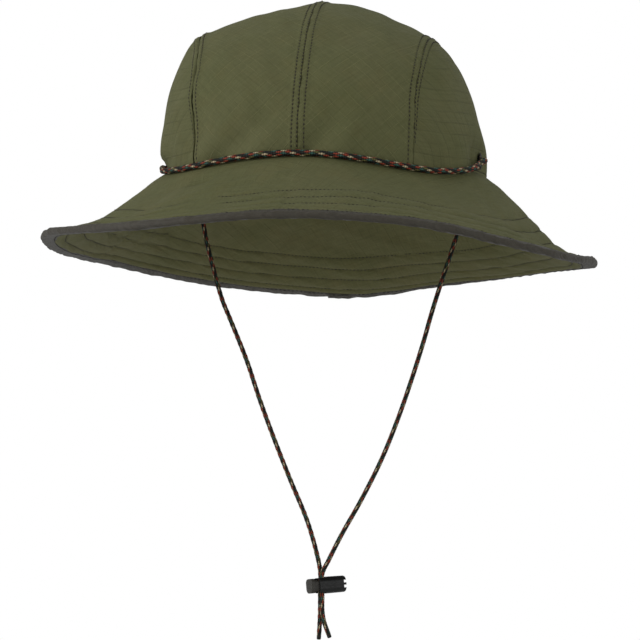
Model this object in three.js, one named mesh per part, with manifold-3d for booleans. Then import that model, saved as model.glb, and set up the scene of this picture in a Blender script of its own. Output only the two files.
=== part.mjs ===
// A soft sun hat: four crown panels, a quilted brim with a bound edge, a sweatband,
// a braided cord across the front that passes in through two eyelets and hangs as the
// chin cord, and a sprung barrel lock on the cord.
// Millimetres. -Y is the front, +Z up, and +X to the right for someone facing the hat,
// which is the side that the names' left and right go by.
// The origin is the centre of the head opening.

import * as THREE from 'three';
import { mergeVertices } from 'three/addons/utils/BufferGeometryUtils.js';
import Module from 'manifold-3d';

const wasm = await Module();
wasm.setup();

// ---- driving dimensions ------------------------------------------------------------

const HEAD_HALF_WIDTH = 86.2;
const HEAD_HALF_LENGTH = 92;
const HEAD_SQUARENESS = 2.2;         // exponent of the head opening's oval

const CROWN_HEIGHT = 99.8;           // over the centre seam
const SIDE_SEAM_X = 56.5;            // the side seams lie at this x before they spread
const SIDE_PROFILE_HEIGHT = 98.3;    // height that the side panels' curve aims at
const SIDE_PROFILE_POWER = 2.26;
const CROWN_LEAN = 0.031;            // one shoulder stands this share fuller, the other less
const LIFT_FADE_HEIGHT = 60;         // the wavy base edge is level again at this height
// How far the side seams and the walls stand out: terms in height / 100, left then right.
const SEAM_SPREAD = [[3.76, 1.53, 0.63], [2.1, 2.18, 1.62]];
const WALL_SPREAD = [[3.29, 1.45, 0.73], [-2.2, -0.06, 0.57]];
const PANEL_THICKNESS = 1.0;
const SEAM_GAP = 0.35;               // half the clearance between neighbouring panels

// Values at even bearings from the front and round by +X.
const BASE_LIFT = [2.5, -4, 3.5, 0, 0, 0, 6, -0.5];
const BRIM_REACH = [62.5, 61.5, 54.7, 64.2, 62.6, 68.5, 59.8, 64.3];
const BRIM_EDGE_Z = [
  -35.1, -36.7, -39.9, -45, -46.9, -45.3, -41.1, -38.2, -34.2, -31.7, -31.9, -33.9,
  -38.3, -36.6, -33.2, -29.3, -26.7, -27.4, -29, -30.1, -33.8, -34.3, -36.8, -36.3,
];
const BRIM_BEND = [0.55, 0.53, 0.68, 0.99, 0.63, 0.23, 0.97, 0.93];   // easing of the slope
const BRIM_SWELL = [-0.1, 0, -0.39, -0.38, -0.24, -0.21, -0.09, 0.07];   // doming of its inner half

const LAYER_THICKNESS = 0.6;         // each of the brim's three layers
const LAYER_GAP = 0.45;
const BINDING_WIDTH = 6.5;
const BINDING_THICKNESS = 0.7;

const SWEATBAND_HEIGHT = 30;
const SWEATBAND_THICKNESS = 1.0;
const SWEATBAND_SETBACK = 3.4;       // from the crown's outer face to the band's
const TAPE_WIDTH = 12;
const TAPE_THICKNESS = 0.6;

const BAND_CORD_DIAMETER = 3.4;
const CHIN_CORD_DIAMETER = 2.6;
const CORD_SIDES = 8;

const EYELET_Y = -5;
const EYELET_Z = 10.5;
const EYELET_BORE_RADIUS = 2.3;
const EYELET_BARREL_RADIUS = 2.8;
const EYELET_FLANGE_RADIUS = 4.6;
const EYELET_FLANGE_THICKNESS = 0.4;
const EYELET_CLEARANCE = 0.3;

const LOCK_CENTRE = [-0.8, -6.35, -212]; // where the cords cross the lock's axis
const LOCK_TURN = 30;                    // degrees about the vertical
const LOCK_TILT = 5;                     // degrees, far end up
const LOCK_CORD_STATION = 7;             // from the button's face to the cords
const LOCK_LENGTH = 19.5;
const LOCK_WIDTH = 10;
const LOCK_HEIGHT = 8.8;
const LOCK_CORNER = 3.4;
const BUTTON_TRAVEL = 2.2;
const BUTTON_HEAD_LENGTH = 2.2;
const BUTTON_HEAD_SIZE = [8.8, 7.6];
const STEM_SIZE = [7.7, 5.9];
const STEM_END = 12.5;
const CAVITY_SIZE = [8.2, 6.5];
const CAVITY_END = 17.5;
const CORD_SLOT_WIDTH = 6.1;
const BODY_SLOT_END = 9.2;
const STEM_SLOT = [2.9, 9.3];
const SPRING_RADIUS = 2.0;
const SPRING_WIRE = 0.55;
const SPRING_TURNS = 3.5;

const BEARINGS = 64;                     // steps round a ring
const DEGREES = Math.PI / 180;
const vector = (x, y, z) => new THREE.Vector3(x, y, z);

// ---- curves of the head opening, crown and brim -------------------------------------

// A smooth closed curve through the eight values, read at a bearing in degrees.
function around(values, bearing) {
  const place = (((bearing % 360) + 360) % 360) / (360 / values.length);
  const i = Math.floor(place);
  const f = place - i;
  const at = (k) => values[(i + k + values.length) % values.length];
  const [a, b, c, d] = [at(-1), at(0), at(1), at(2)];
  return b + 0.5 * f * (c - a + f * (2 * a - 5 * b + 4 * c - d + f * (3 * (b - c) + d - a)));
}

const signedPower = (value, power) => Math.sign(value) * Math.abs(value) ** power;

function basePoint(bearing) {
  const power = 2 / HEAD_SQUARENESS;
  return vector(
    HEAD_HALF_WIDTH * signedPower(Math.sin(bearing * DEGREES), power),
    -HEAD_HALF_LENGTH * signedPower(Math.cos(bearing * DEGREES), power),
    0,
  );
}

function baseNormal(bearing) {
  const p = basePoint(bearing);
  const power = HEAD_SQUARENESS - 1;
  return vector(
    signedPower(p.x / HEAD_HALF_WIDTH, power) / HEAD_HALF_WIDTH,
    signedPower(p.y / HEAD_HALF_LENGTH, power) / HEAD_HALF_LENGTH,
    0,
  ).normalize();
}

// Each fore-and-aft section of the crown is half an oval: its height, half length and power.
function crownHeight(x) {
  const across = Math.abs(x) / SIDE_SEAM_X;
  const side = (reach) => SIDE_PROFILE_HEIGHT
    * Math.max(0, 1 - (reach / HEAD_HALF_WIDTH) ** SIDE_PROFILE_POWER) ** (1 / SIDE_PROFILE_POWER);
  if (across >= 1) return side(Math.abs(x));
  const drop = CROWN_HEIGHT - side(SIDE_SEAM_X);
  return CROWN_HEIGHT - drop * (0.65 * across + 0.35 * across ** 2);
}

function crownHalfLength(x) {
  const share = Math.abs(x) / HEAD_HALF_WIDTH;
  return HEAD_HALF_LENGTH * Math.max(0, 1 - share ** HEAD_SQUARENESS) ** (1 / HEAD_SQUARENESS);
}

const crownPower = (x) => 1.8 + 0.35 * Math.abs(x) / SIDE_SEAM_X;

// Leans the crown over, stands its seams and walls wide, and waves its base edge up and down.
function settle(x, y, z) {
  const bearing = Math.atan2(x, -y) / DEGREES;
  const spread = (terms) => {
    const [a, b, c] = terms[x > 0 ? 1 : 0];
    const t = z / 100;
    return t * (a + b * t + c * t ** 2);
  };
  const fade = Math.max(0, 1 - z / LIFT_FADE_HEIGHT) ** 1.5;
  const reach = Math.min(1, Math.abs(x) / HEAD_HALF_WIDTH);
  const shoulder = 9.48 * reach ** 3 * (1 - reach);    // rises to 1 beyond the side seams
  const lean = 1 - CROWN_LEAN * Math.sign(x) * shoulder;
  const wider = spread(SEAM_SPREAD) * 6.75 * reach ** 2 * (1 - reach) + spread(WALL_SPREAD) * reach ** 2;
  return vector(
    x + Math.sign(x) * wider,
    y,
    z * lean + around(BASE_LIFT, bearing) * fade,
  );
}

function crownPoint(x, turn) {
  const power = 2 / crownPower(x);
  const y = crownHalfLength(x) * signedPower(Math.sin(turn * DEGREES), power);
  const z = crownHeight(x) * Math.max(0, Math.cos(turn * DEGREES)) ** power;
  return settle(x, y, z);
}

// Where a rising or falling function of one number passes through zero.
function bisect(f, low, high) {
  let [a, b] = [low, high];
  const rising = f(b) > f(a);
  for (let i = 0; i < 40; i += 1) {
    const middle = (a + b) / 2;
    if ((f(middle) > 0) === rising) b = middle;
    else a = middle;
  }
  return (a + b) / 2;
}

function sectionExcess(x, y, z) {
  const power = crownPower(x);
  const [length, height] = [crownHalfLength(x), crownHeight(x)];
  return (Math.abs(y) / Math.max(length, 1e-6)) ** power + (z / Math.max(height, 1e-6)) ** power - 1;
}

// A point of a side panel: along is its y, rise its share of the seam's height there.
function sidePoint(side, along, rise) {
  const half = crownHalfLength(SIDE_SEAM_X);
  const power = crownPower(SIDE_SEAM_X);
  const seamHeight = crownHeight(SIDE_SEAM_X)
    * Math.max(0, 1 - (Math.abs(along) / half) ** power) ** (1 / power);
  const z = rise * seamHeight;
  const x = rise >= 1
    ? SIDE_SEAM_X
    : bisect((trial) => sectionExcess(trial, along, z), SIDE_SEAM_X, HEAD_HALF_WIDTH);
  return settle(side * x, along, z);
}

// The crown's wall at a height, on the line from the opening's centre to a bearing.
function crownAtHeight(bearing, z) {
  const base = basePoint(bearing);
  const share = z <= 0 ? 1 : bisect(
    (trial) => sectionExcess(Math.abs(base.x * trial), base.y * trial, z),
    0.3,
    1,
  );
  return settle(base.x * share, base.y * share, z);
}

// share runs from 0 at the crown to 1 at the brim's edge.
function brimPoint(bearing, share) {
  const base = basePoint(bearing);
  const normal = baseNormal(bearing);
  const lift = around(BASE_LIFT, bearing);
  const drop = lift - around(BRIM_EDGE_Z, bearing);
  const bend = around(BRIM_BEND, bearing);
  const swell = around(BRIM_SWELL, bearing) * (1 - 2 * share);
  const fallen = share * (1 + (bend + swell) * (1 - share));
  base.addScaledVector(normal, around(BRIM_REACH, bearing) * share);
  base.z = lift - drop * fallen;
  return base;
}

function brimNormal(bearing, share) {
  const outward = brimPoint(bearing, share + 0.01).sub(brimPoint(bearing, share - 0.01));
  const round = brimPoint(bearing + 0.5, share).sub(brimPoint(bearing - 0.5, share));
  return outward.cross(round).normalize();
}

// along is measured outwards from the brim's edge, out along its upward normal.
function brimEdgePoint(bearing, along, out) {
  const share = 1 + along / around(BRIM_REACH, bearing);
  return brimPoint(bearing, share).addScaledVector(brimNormal(bearing, share), out);
}

// ---- closed solids from sections ----------------------------------------------------

function signedVolume(points, faces) {
  return faces.reduce((sum, [a, b, c]) => (
    sum + points[a].dot(points[b].clone().cross(points[c])) / 6
  ), 0);
}

function solidGeometry(points, faces) {
  const outward = signedVolume(points, faces) > 0;
  const geometry = new THREE.BufferGeometry();
  geometry.setAttribute('position', new THREE.Float32BufferAttribute(
    points.flatMap((p) => [p.x, p.y, p.z]),
    3,
  ));
  geometry.setIndex(faces.flatMap(([a, b, c]) => (outward ? [a, b, c] : [a, c, b])));
  geometry.computeVertexNormals();
  return geometry;
}

// Joins sections, each the same number of points round a closed outline. A ring joins
// its last section to its first. An open strip gets caps that zip the outline's first
// half to its second half.
function sweptSolid(sections, ring) {
  const size = sections[0].length;
  const faces = [];
  const joins = ring ? sections.length : sections.length - 1;
  for (let i = 0; i < joins; i += 1) {
    const [near, far] = [i * size, ((i + 1) % sections.length) * size];
    for (let k = 0; k < size; k += 1) {
      const next = (k + 1) % size;
      faces.push([near + k, far + k, far + next], [near + k, far + next, near + next]);
    }
  }
  if (!ring) {
    const last = (sections.length - 1) * size;
    for (let k = 0; k < size / 2 - 1; k += 1) {
      const [a, b, c, d] = [k, k + 1, size - 2 - k, size - 1 - k];
      faces.push([a, b, c], [a, c, d]);
      faces.push([last + a, last + c, last + b], [last + a, last + d, last + c]);
    }
  }
  return solidGeometry(sections.flat(), faces);
}

function ringSolid(sectionAt) {
  const sections = [];
  for (let i = 0; i < BEARINGS; i += 1) sections.push(sectionAt((360 * i) / BEARINGS));
  return sweptSolid(sections, true);
}

const steps = (count, from, to) => (
  Array.from({ length: count + 1 }, (_, i) => from + ((to - from) * i) / count)
);

// The point of a surface, moved in towards the head.
function insetPoint(surface, u, v, depth) {
  const small = 0.004;
  const p = surface(u, v);
  const du = surface(u + small, v).sub(surface(u - small, v));
  const dv = surface(u, v + small).sub(surface(u, v - small));
  const normal = du.cross(dv).normalize();
  const outward = normal.dot(vector(p.x, p.y, p.z - 20)) > 0 ? 1 : -1;
  return p.addScaledVector(normal, -outward * depth);
}

// A sheet of cloth: its outer face follows the surface and its inner face lies deeper.
function sheetSolid(surface, across, along, outerDepth, innerDepth) {
  const sections = along.map((v) => [
    ...across.map((u) => insetPoint(surface, u, v, outerDepth)),
    ...across.map((u) => insetPoint(surface, u, v, innerDepth)).reverse(),
  ]);
  return sweptSolid(sections, false);
}

function toManifold(geometry) {
  const bare = geometry.clone();
  bare.deleteAttribute('normal');
  if (bare.getAttribute('uv')) bare.deleteAttribute('uv');
  const merged = mergeVertices(bare, 1e-4);
  return new wasm.Manifold(new wasm.Mesh({
    numProp: 3,
    vertProperties: new Float32Array(merged.getAttribute('position').array),
    triVerts: new Uint32Array(merged.getIndex().array),
  }));
}

function fromManifold(solid) {
  const mesh = solid.getMesh();
  const geometry = new THREE.BufferGeometry();
  geometry.setAttribute('position', new THREE.BufferAttribute(mesh.vertProperties, 3));
  geometry.setIndex(new THREE.BufferAttribute(mesh.triVerts, 1));
  geometry.computeVertexNormals();
  return geometry;
}

function cut(geometry, ...tools) {
  return fromManifold(tools.reduce(
    (solid, tool) => solid.subtract(toManifold(tool)),
    toManifold(geometry),
  ));
}

// ---- crown ---------------------------------------------------------------------------

const TOP_PANEL_TURNS = steps(16, -89.5, 89.5);
const SIDE_PANEL_RISES = [0.014, 0.14, 0.32, 0.5, 0.68, 0.84, 0.95, 0.992];

function topPanel(side) {
  const across = steps(6, SEAM_GAP, SIDE_SEAM_X - SEAM_GAP);
  const surface = (x, turn) => crownPoint(side * x, turn);
  return sheetSolid(surface, across, TOP_PANEL_TURNS, 0, PANEL_THICKNESS);
}

function eyeletHole(side, radius) {
  const hole = new THREE.CylinderGeometry(radius, radius, 16, 16);
  hole.rotateZ(90 * DEGREES);
  hole.translate(side * HEAD_HALF_WIDTH, EYELET_Y, EYELET_Z);
  return hole;
}

function sidePanel(side) {
  const reach = crownHalfLength(SIDE_SEAM_X) * 0.985;
  const along = steps(16, -80, 80).map((turn) => (
    (reach * Math.sin(turn * DEGREES)) / Math.sin(80 * DEGREES)
  ));
  const surface = (rise, y) => sidePoint(side, y, rise);
  const panel = sheetSolid(surface, SIDE_PANEL_RISES, along, 0, PANEL_THICKNESS);
  return cut(panel, eyeletHole(side, EYELET_BARREL_RADIUS + EYELET_CLEARANCE));
}

const TAPE_OUTER = PANEL_THICKNESS + 0.4;
const TAPE_INNER = TAPE_OUTER + TAPE_THICKNESS;
const TAPE_TURNS = TOP_PANEL_TURNS.slice(2, -2);

function centreTape() {
  const across = [-TAPE_WIDTH / 2, 0.02, TAPE_WIDTH / 2];
  return sheetSolid(crownPoint, across, TAPE_TURNS, TAPE_OUTER, TAPE_INNER);
}

// Half of a side seam's tape lies under the top panel and half under the side panel.
function sideTape(side) {
  const half = TAPE_WIDTH / 2;
  const top = (x, turn) => crownPoint(side * x, turn);
  const sections = TAPE_TURNS.map((turn) => {
    const seam = top(SIDE_SEAM_X, turn);
    const rise = 1 - half / Math.max(seam.z, 2 * half);
    const wall = (share, y) => sidePoint(side, y, share);
    const layer = (depth) => [
      insetPoint(top, SIDE_SEAM_X - half, turn, depth),
      insetPoint(top, SIDE_SEAM_X - 0.1, turn, depth + 0.4),
      insetPoint(wall, rise, seam.y, depth + 0.8),
    ];
    return [...layer(TAPE_OUTER), ...layer(TAPE_INNER).reverse()];
  });
  return sweptSolid(sections, false);
}

function sweatband() {
  const heights = [1, 16, 1 + SWEATBAND_HEIGHT];
  const band = ringSolid((bearing) => {
    const inward = baseNormal(bearing).negate();
    const face = (depth) => heights.map((z) => (
      crownAtHeight(bearing, z).addScaledVector(inward, depth)
    ));
    return [
      ...face(SWEATBAND_SETBACK),
      ...face(SWEATBAND_SETBACK + SWEATBAND_THICKNESS).reverse(),
    ];
  });
  const holeRadius = CHIN_CORD_DIAMETER / 2 + 1.2;
  return cut(band, eyeletHole(1, holeRadius), eyeletHole(-1, holeRadius));
}

// ---- brim ------------------------------------------------------------------------------

const BRIM_SHARES = [0.004, 0.22, 0.46, 0.69, 0.88, 1];

function brimLayer(depth, thickness) {
  return ringSolid((bearing) => {
    const face = (out) => BRIM_SHARES.map((share) => (
      brimPoint(bearing, share).addScaledVector(brimNormal(bearing, share), out)
    ));
    return [...face(-depth), ...face(-depth - thickness).reverse()];
  });
}

const LAYER_PITCH = LAYER_THICKNESS + LAYER_GAP;
const BRIM_DEPTH = 3 * LAYER_THICKNESS + 2 * LAYER_GAP;

function binding() {
  const gap = LAYER_GAP;
  const wall = BINDING_THICKNESS;
  return ringSolid((bearing) => [
    [-BINDING_WIDTH, gap],
    [gap, gap],
    [gap, -BRIM_DEPTH - gap],
    [-BINDING_WIDTH, -BRIM_DEPTH - gap],
    [-BINDING_WIDTH, -BRIM_DEPTH - gap - wall],
    [gap, -BRIM_DEPTH - gap - wall],
    [gap + wall, -BRIM_DEPTH * 0.75],
    [gap + wall, -BRIM_DEPTH * 0.25],
    [gap, gap + wall],
    [-BINDING_WIDTH, gap + wall],
  ].map(([along, out]) => brimEdgePoint(bearing, along, out)));
}

// ---- cords and eyelets -----------------------------------------------------------------

function cordSolid(points, diameter, spacing) {
  const path = new THREE.CatmullRomCurve3(points, false, 'centripetal');
  const section = new THREE.Shape();
  const angles = steps(CORD_SIDES, 0, 360).slice(0, -1);
  section.setFromPoints(angles.map((angle) => new THREE.Vector2(
    (diameter / 2) * Math.cos(angle * DEGREES),
    (diameter / 2) * Math.sin(angle * DEGREES),
  )));
  return new THREE.ExtrudeGeometry(section, {
    extrudePath: path,
    steps: Math.round(path.getLength() / spacing),
    curveSegments: 1,
    bevelEnabled: false,
  });
}

const CORD_HANDOVER = HEAD_HALF_WIDTH - 1.4;   // x where the front cord becomes the chin cord

// The front cord lies in the corner between crown and brim, and climbs to each eyelet.
function bandCordRoute() {
  const clear = BAND_CORD_DIAMETER / 2 + 0.5;
  const front = steps(26, -78, 78).map((bearing) => {
    const climb = 5 * Math.max(0, (Math.abs(bearing) - 55) / 23) ** 2;
    const p = basePoint(bearing).addScaledVector(baseNormal(bearing), clear);
    p.z = around(BASE_LIFT, bearing) + 0.9 + climb * (bearing > 0 ? 0.62 : 0.3);
    return p;
  });
  const turnIn = (side) => [
    vector(side * (HEAD_HALF_WIDTH + 2.9), EYELET_Y - 5.6, EYELET_Z - 0.8),
    vector(side * (HEAD_HALF_WIDTH + 2.85), EYELET_Y - 2.6, EYELET_Z - 0.1),
    vector(side * (HEAD_HALF_WIDTH + 2.25), EYELET_Y - 0.8, EYELET_Z),
    vector(side * (HEAD_HALF_WIDTH + 1.1), EYELET_Y, EYELET_Z),
    vector(side * HEAD_HALF_WIDTH, EYELET_Y, EYELET_Z),
    vector(side * CORD_HANDOVER, EYELET_Y, EYELET_Z),
  ];
  return [...turnIn(-1).reverse(), ...front, ...turnIn(1)];
}

// Each chin cord's route from its eyelet to its cut end. The lock holds the two side by side.
const CHIN_CORD_RIGHT_ROUTE = [
  [84.4, -5, 10.5], [81.8, -5, 10.5], [78.8, -5, 9.4], [76.3, -5, 6], [74.9, -5, 0],
  [73.51, -5, -12.16], [71.65, -5, -26.29], [68.7, -5.1, -36], [65.5, -5.1, -45.5],
  [59.9, -5.2, -62.4], [56.7, -5.2, -72.9], [53.7, -5.3, -83.5], [47, -5.4, -104.5],
  [39.6, -5.6, -125.5], [31, -5.9, -146.5], [20.4, -6.2, -167.4], [10, -6.8, -185.7],
  [3.4, -7.4, -198.7], [-0.09, -7.58, -206.2], [-0.09, -7.58, -217.7], [-0.05, -7.56, -225.2],
  [0.8, -7.4, -230.7], [3.7, -7, -239],
];
const CHIN_CORD_LEFT_ROUTE = [
  [-84.4, -5, 10.5], [-81.6, -5, 10.5], [-77.4, -5, 9.2], [-73.6, -5, 5.4], [-70.6, -5, -1],
  [-67.52, -5, -9.61], [-64.84, -5, -17.89], [-62.89, -5, -27.82], [-59.8, -5, -40.4],
  [-54.1, -5, -60.4], [-49.7, -5, -71.1], [-41, -5, -92.6], [-33.8, -5, -113.9],
  [-25.9, -5, -135.2], [-17.4, -5.05, -156.5], [-8.6, -5.1, -177.6], [-3.8, -5.12, -193.4],
  [-1.51, -5.12, -204.7], [-1.51, -5.12, -217.7], [-1.55, -5.14, -225.7], [-1.8, -5.3, -232.7],
  [-2.2, -5.6, -239.8],
];

function chinCord(route) {
  const points = route.map(([x, y, z]) => vector(x, y, z));
  return cordSolid(points, CHIN_CORD_DIAMETER, 2.5 * CHIN_CORD_DIAMETER);
}

// A ring of the given profile, [radius, distance outwards], turned to face along X.
function turnedRing(side, faceX, profile) {
  const points = [...profile, profile[0]].map(([r, out]) => new THREE.Vector2(r, out));
  const ring = new THREE.LatheGeometry(points, 16);
  ring.rotateZ(-90 * DEGREES * side);
  ring.translate(side * faceX, EYELET_Y, EYELET_Z);
  return ring;
}

const EYELET_FACE_X = HEAD_HALF_WIDTH + 0.3;
const WASHER_FACE_X = HEAD_HALF_WIDTH - PANEL_THICKNESS - 1.25;
const EYELET_BARREL_LENGTH = PANEL_THICKNESS + 2.15;

function eyelet(side) {
  return turnedRing(side, EYELET_FACE_X, [
    [EYELET_BORE_RADIUS, EYELET_FLANGE_THICKNESS],
    [EYELET_BORE_RADIUS, -EYELET_BARREL_LENGTH],
    [EYELET_BARREL_RADIUS, -EYELET_BARREL_LENGTH],
    [EYELET_BARREL_RADIUS, 0],
    [EYELET_FLANGE_RADIUS, 0],
    [EYELET_FLANGE_RADIUS, EYELET_FLANGE_THICKNESS],
  ]);
}

function eyeletWasher(side) {
  const bore = EYELET_BARREL_RADIUS + EYELET_CLEARANCE;
  return turnedRing(side, WASHER_FACE_X, [
    [bore, 0],
    [bore, -0.4],
    [EYELET_FLANGE_RADIUS, -0.4],
    [EYELET_FLANGE_RADIUS, 0],
  ]);
}

// ---- cord lock, modelled along +X from the button's face ---------------------------------

// A rounded bar along X between two stations, [width along Y, height along Z].
function roundedBar([width, height], corner, from, to) {
  const [w, h] = [width / 2, height / 2];
  const outline = new THREE.Shape();
  outline.moveTo(w, -h + corner);
  outline.absarc(w - corner, h - corner, corner, 0, 90 * DEGREES);
  outline.absarc(-w + corner, h - corner, corner, 90 * DEGREES, 180 * DEGREES);
  outline.absarc(-w + corner, -h + corner, corner, 180 * DEGREES, 270 * DEGREES);
  outline.absarc(w - corner, -h + corner, corner, 270 * DEGREES, 360 * DEGREES);
  const bar = new THREE.ExtrudeGeometry(outline, {
    depth: to - from,
    curveSegments: 4,
    bevelEnabled: false,
  });
  bar.rotateX(90 * DEGREES);
  bar.rotateZ(90 * DEGREES);
  bar.translate(from, 0, 0);
  return bar;
}

function block(from, to, width, height, z = 0) {
  const shape = new THREE.BoxGeometry(to - from, width, height);
  shape.translate((from + to) / 2, 0, z);
  return shape;
}

function lockBody() {
  const mouth = BUTTON_HEAD_LENGTH + BUTTON_TRAVEL + 0.15;
  const shell = roundedBar([LOCK_WIDTH, LOCK_HEIGHT], LOCK_CORNER, mouth, LOCK_LENGTH);
  const cavity = roundedBar(CAVITY_SIZE, 1.6, mouth - 1, CAVITY_END);
  const cordSlot = block(mouth - 1, BODY_SLOT_END, CORD_SLOT_WIDTH, LOCK_HEIGHT + 2);
  const notchDepth = 1.4;
  const sideNotch = block(LOCK_LENGTH - notchDepth, LOCK_LENGTH + 1, LOCK_WIDTH + 2, 1.6);
  const topNotch = block(LOCK_LENGTH - notchDepth, LOCK_LENGTH + 1, 1.8, LOCK_HEIGHT + 2);
  return cut(shell, cavity, cordSlot, sideNotch, topNotch);
}

function lockButton() {
  const head = roundedBar(BUTTON_HEAD_SIZE, 2.2, 0, BUTTON_HEAD_LENGTH);
  const stem = roundedBar(STEM_SIZE, 1.4, BUTTON_HEAD_LENGTH - 0.2, STEM_END);
  const slot = block(...STEM_SLOT, CORD_SLOT_WIDTH, STEM_SIZE[1] + 2);
  const seat = new THREE.CylinderGeometry(SPRING_RADIUS + 0.6, SPRING_RADIUS + 0.6, 2, 16);
  seat.rotateZ(90 * DEGREES);
  seat.translate(STEM_END, 0, 0);
  return fromManifold(toManifold(head).add(toManifold(stem))
    .subtract(toManifold(slot)).subtract(toManifold(seat)));
}

function lockSpring() {
  const [from, to] = [STEM_END - 1 + 0.15 + SPRING_WIRE / 2, CAVITY_END - 0.15 - SPRING_WIRE / 2];
  const points = steps(SPRING_TURNS * 8, 0, 1).map((t) => {
    const angle = t * SPRING_TURNS * 360 * DEGREES;
    return vector(
      from + (to - from) * t,
      SPRING_RADIUS * Math.cos(angle),
      SPRING_RADIUS * Math.sin(angle),
    );
  });
  return cordSolid(points, SPRING_WIRE, 1.4);
}

// ---- materials and assembly ----------------------------------------------------------------

const colours = {
  olive: [0x57, 0x5a, 0x37, 0.9],
  underside: [0x48, 0x4b, 0x2e, 0.92],
  lining: [0x30, 0x32, 0x24, 0.9],
  trim: [0x42, 0x3e, 0x36, 0.7],
  braid: [0x4a, 0x3a, 0x2c, 0.8],
  black: [0x1e, 0x20, 0x1e, 0.45],
  button: [0x3e, 0x3c, 0x34, 0.5],
};

function cloth(name) {
  const [r, g, b, roughness] = colours[name];
  const material = new THREE.MeshStandardMaterial({ roughness, metalness: 0 });
  material.color.setRGB(r / 255, g / 255, b / 255, THREE.SRGBColorSpace);
  return material;
}

function steel() {
  return new THREE.MeshStandardMaterial({ color: 0x8b8d90, roughness: 0.35, metalness: 1 });
}

function part(name, geometry, material) {
  const mesh = new THREE.Mesh(geometry, material);
  mesh.name = name;
  return mesh;
}

const hat = new THREE.Group();

for (const [name, side] of [['left', -1], ['right', 1]]) {
  hat.add(part(`${name}_top_panel`, topPanel(side), cloth('olive')));
  hat.add(part(`${name}_side_panel`, sidePanel(side), cloth('olive')));
  hat.add(part(`${name}_seam_tape`, sideTape(side), cloth('lining')));
  hat.add(part(`${name}_eyelet`, eyelet(side), cloth('black')));
  hat.add(part(`${name}_eyelet_washer`, eyeletWasher(side), cloth('black')));
}
hat.add(part('centre_seam_tape', centreTape(), cloth('lining')));
hat.add(part('sweatband', sweatband(), cloth('lining')));
hat.add(part('brim_top', brimLayer(0, LAYER_THICKNESS), cloth('olive')));
hat.add(part('brim_interlining', brimLayer(LAYER_PITCH, LAYER_THICKNESS), cloth('lining')));
hat.add(part('brim_underside', brimLayer(2 * LAYER_PITCH, LAYER_THICKNESS), cloth('underside')));
hat.add(part('brim_binding', binding(), cloth('trim')));
hat.add(part(
  'front_band_cord',
  cordSolid(bandCordRoute(), BAND_CORD_DIAMETER, 1.5 * BAND_CORD_DIAMETER),
  cloth('braid'),
));
hat.add(part('left_chin_cord', chinCord(CHIN_CORD_LEFT_ROUTE), cloth('braid')));
hat.add(part('right_chin_cord', chinCord(CHIN_CORD_RIGHT_ROUTE), cloth('braid')));

const lock = new THREE.Group();
lock.position.set(...LOCK_CENTRE);
lock.rotation.set(0, -LOCK_TILT * DEGREES, LOCK_TURN * DEGREES, 'ZYX');
const alongAxis = new THREE.Group();
alongAxis.position.x = -LOCK_CORD_STATION;
alongAxis.add(part('cord_lock_body', lockBody(), cloth('black')));
alongAxis.add(part('cord_lock_button', lockButton(), cloth('button')));
alongAxis.add(part('cord_lock_spring', lockSpring(), steel()));
lock.add(alongAxis);
hat.add(lock);

export default hat;
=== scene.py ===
"""The looks of a soft brimmed sun hat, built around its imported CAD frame.

All lengths are metres. -Y is the hat's front, +Z is up, and +X is to the right for
someone facing it. The origin is the centre of the head opening.
"""
import math

import bpy
import numpy as np
from mathutils import Matrix, Vector


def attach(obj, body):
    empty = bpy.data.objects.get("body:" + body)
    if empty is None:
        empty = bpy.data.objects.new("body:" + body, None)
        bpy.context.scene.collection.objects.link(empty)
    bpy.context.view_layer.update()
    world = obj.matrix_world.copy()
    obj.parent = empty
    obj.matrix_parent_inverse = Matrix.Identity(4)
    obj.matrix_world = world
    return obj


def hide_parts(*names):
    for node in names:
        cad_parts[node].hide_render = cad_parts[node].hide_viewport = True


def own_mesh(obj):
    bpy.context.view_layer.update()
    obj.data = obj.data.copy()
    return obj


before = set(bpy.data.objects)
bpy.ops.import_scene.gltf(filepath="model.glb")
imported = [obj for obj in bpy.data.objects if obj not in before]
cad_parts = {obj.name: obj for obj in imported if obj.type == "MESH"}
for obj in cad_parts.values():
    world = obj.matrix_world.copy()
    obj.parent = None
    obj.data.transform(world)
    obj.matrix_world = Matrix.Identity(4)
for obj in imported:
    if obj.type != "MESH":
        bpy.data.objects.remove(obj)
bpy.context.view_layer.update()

MM = 0.001

# ---- driving dimensions ----
#
# They are the CAD part's, apart from the three values of BRIM_EDGE_Z that are marked below.
# SEAM_SPREAD, WALL_SPREAD and the four BRIM tables are rounded results of fits to the photo's
# outline, not values chosen by hand.

HEAD_HALF_WIDTH = 0.0862
HEAD_HALF_LENGTH = 0.092
HEAD_SQUARENESS = 2.2
CROWN_HEIGHT = 0.0998
SIDE_SEAM_X = 0.0565
SIDE_PROFILE_HEIGHT = 0.0983
SIDE_PROFILE_POWER = 2.26
CROWN_LEAN = 0.031
LIFT_FADE_HEIGHT = 0.060

# How far the side seams and the walls stand out: terms in height / 100 mm, left then right.
SEAM_SPREAD = np.array([[3.76, 1.53, 0.63], [2.1, 2.18, 1.62]]) * MM
WALL_SPREAD = np.array([[3.29, 1.45, 0.73], [-2.2, -0.06, 0.57]]) * MM

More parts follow.
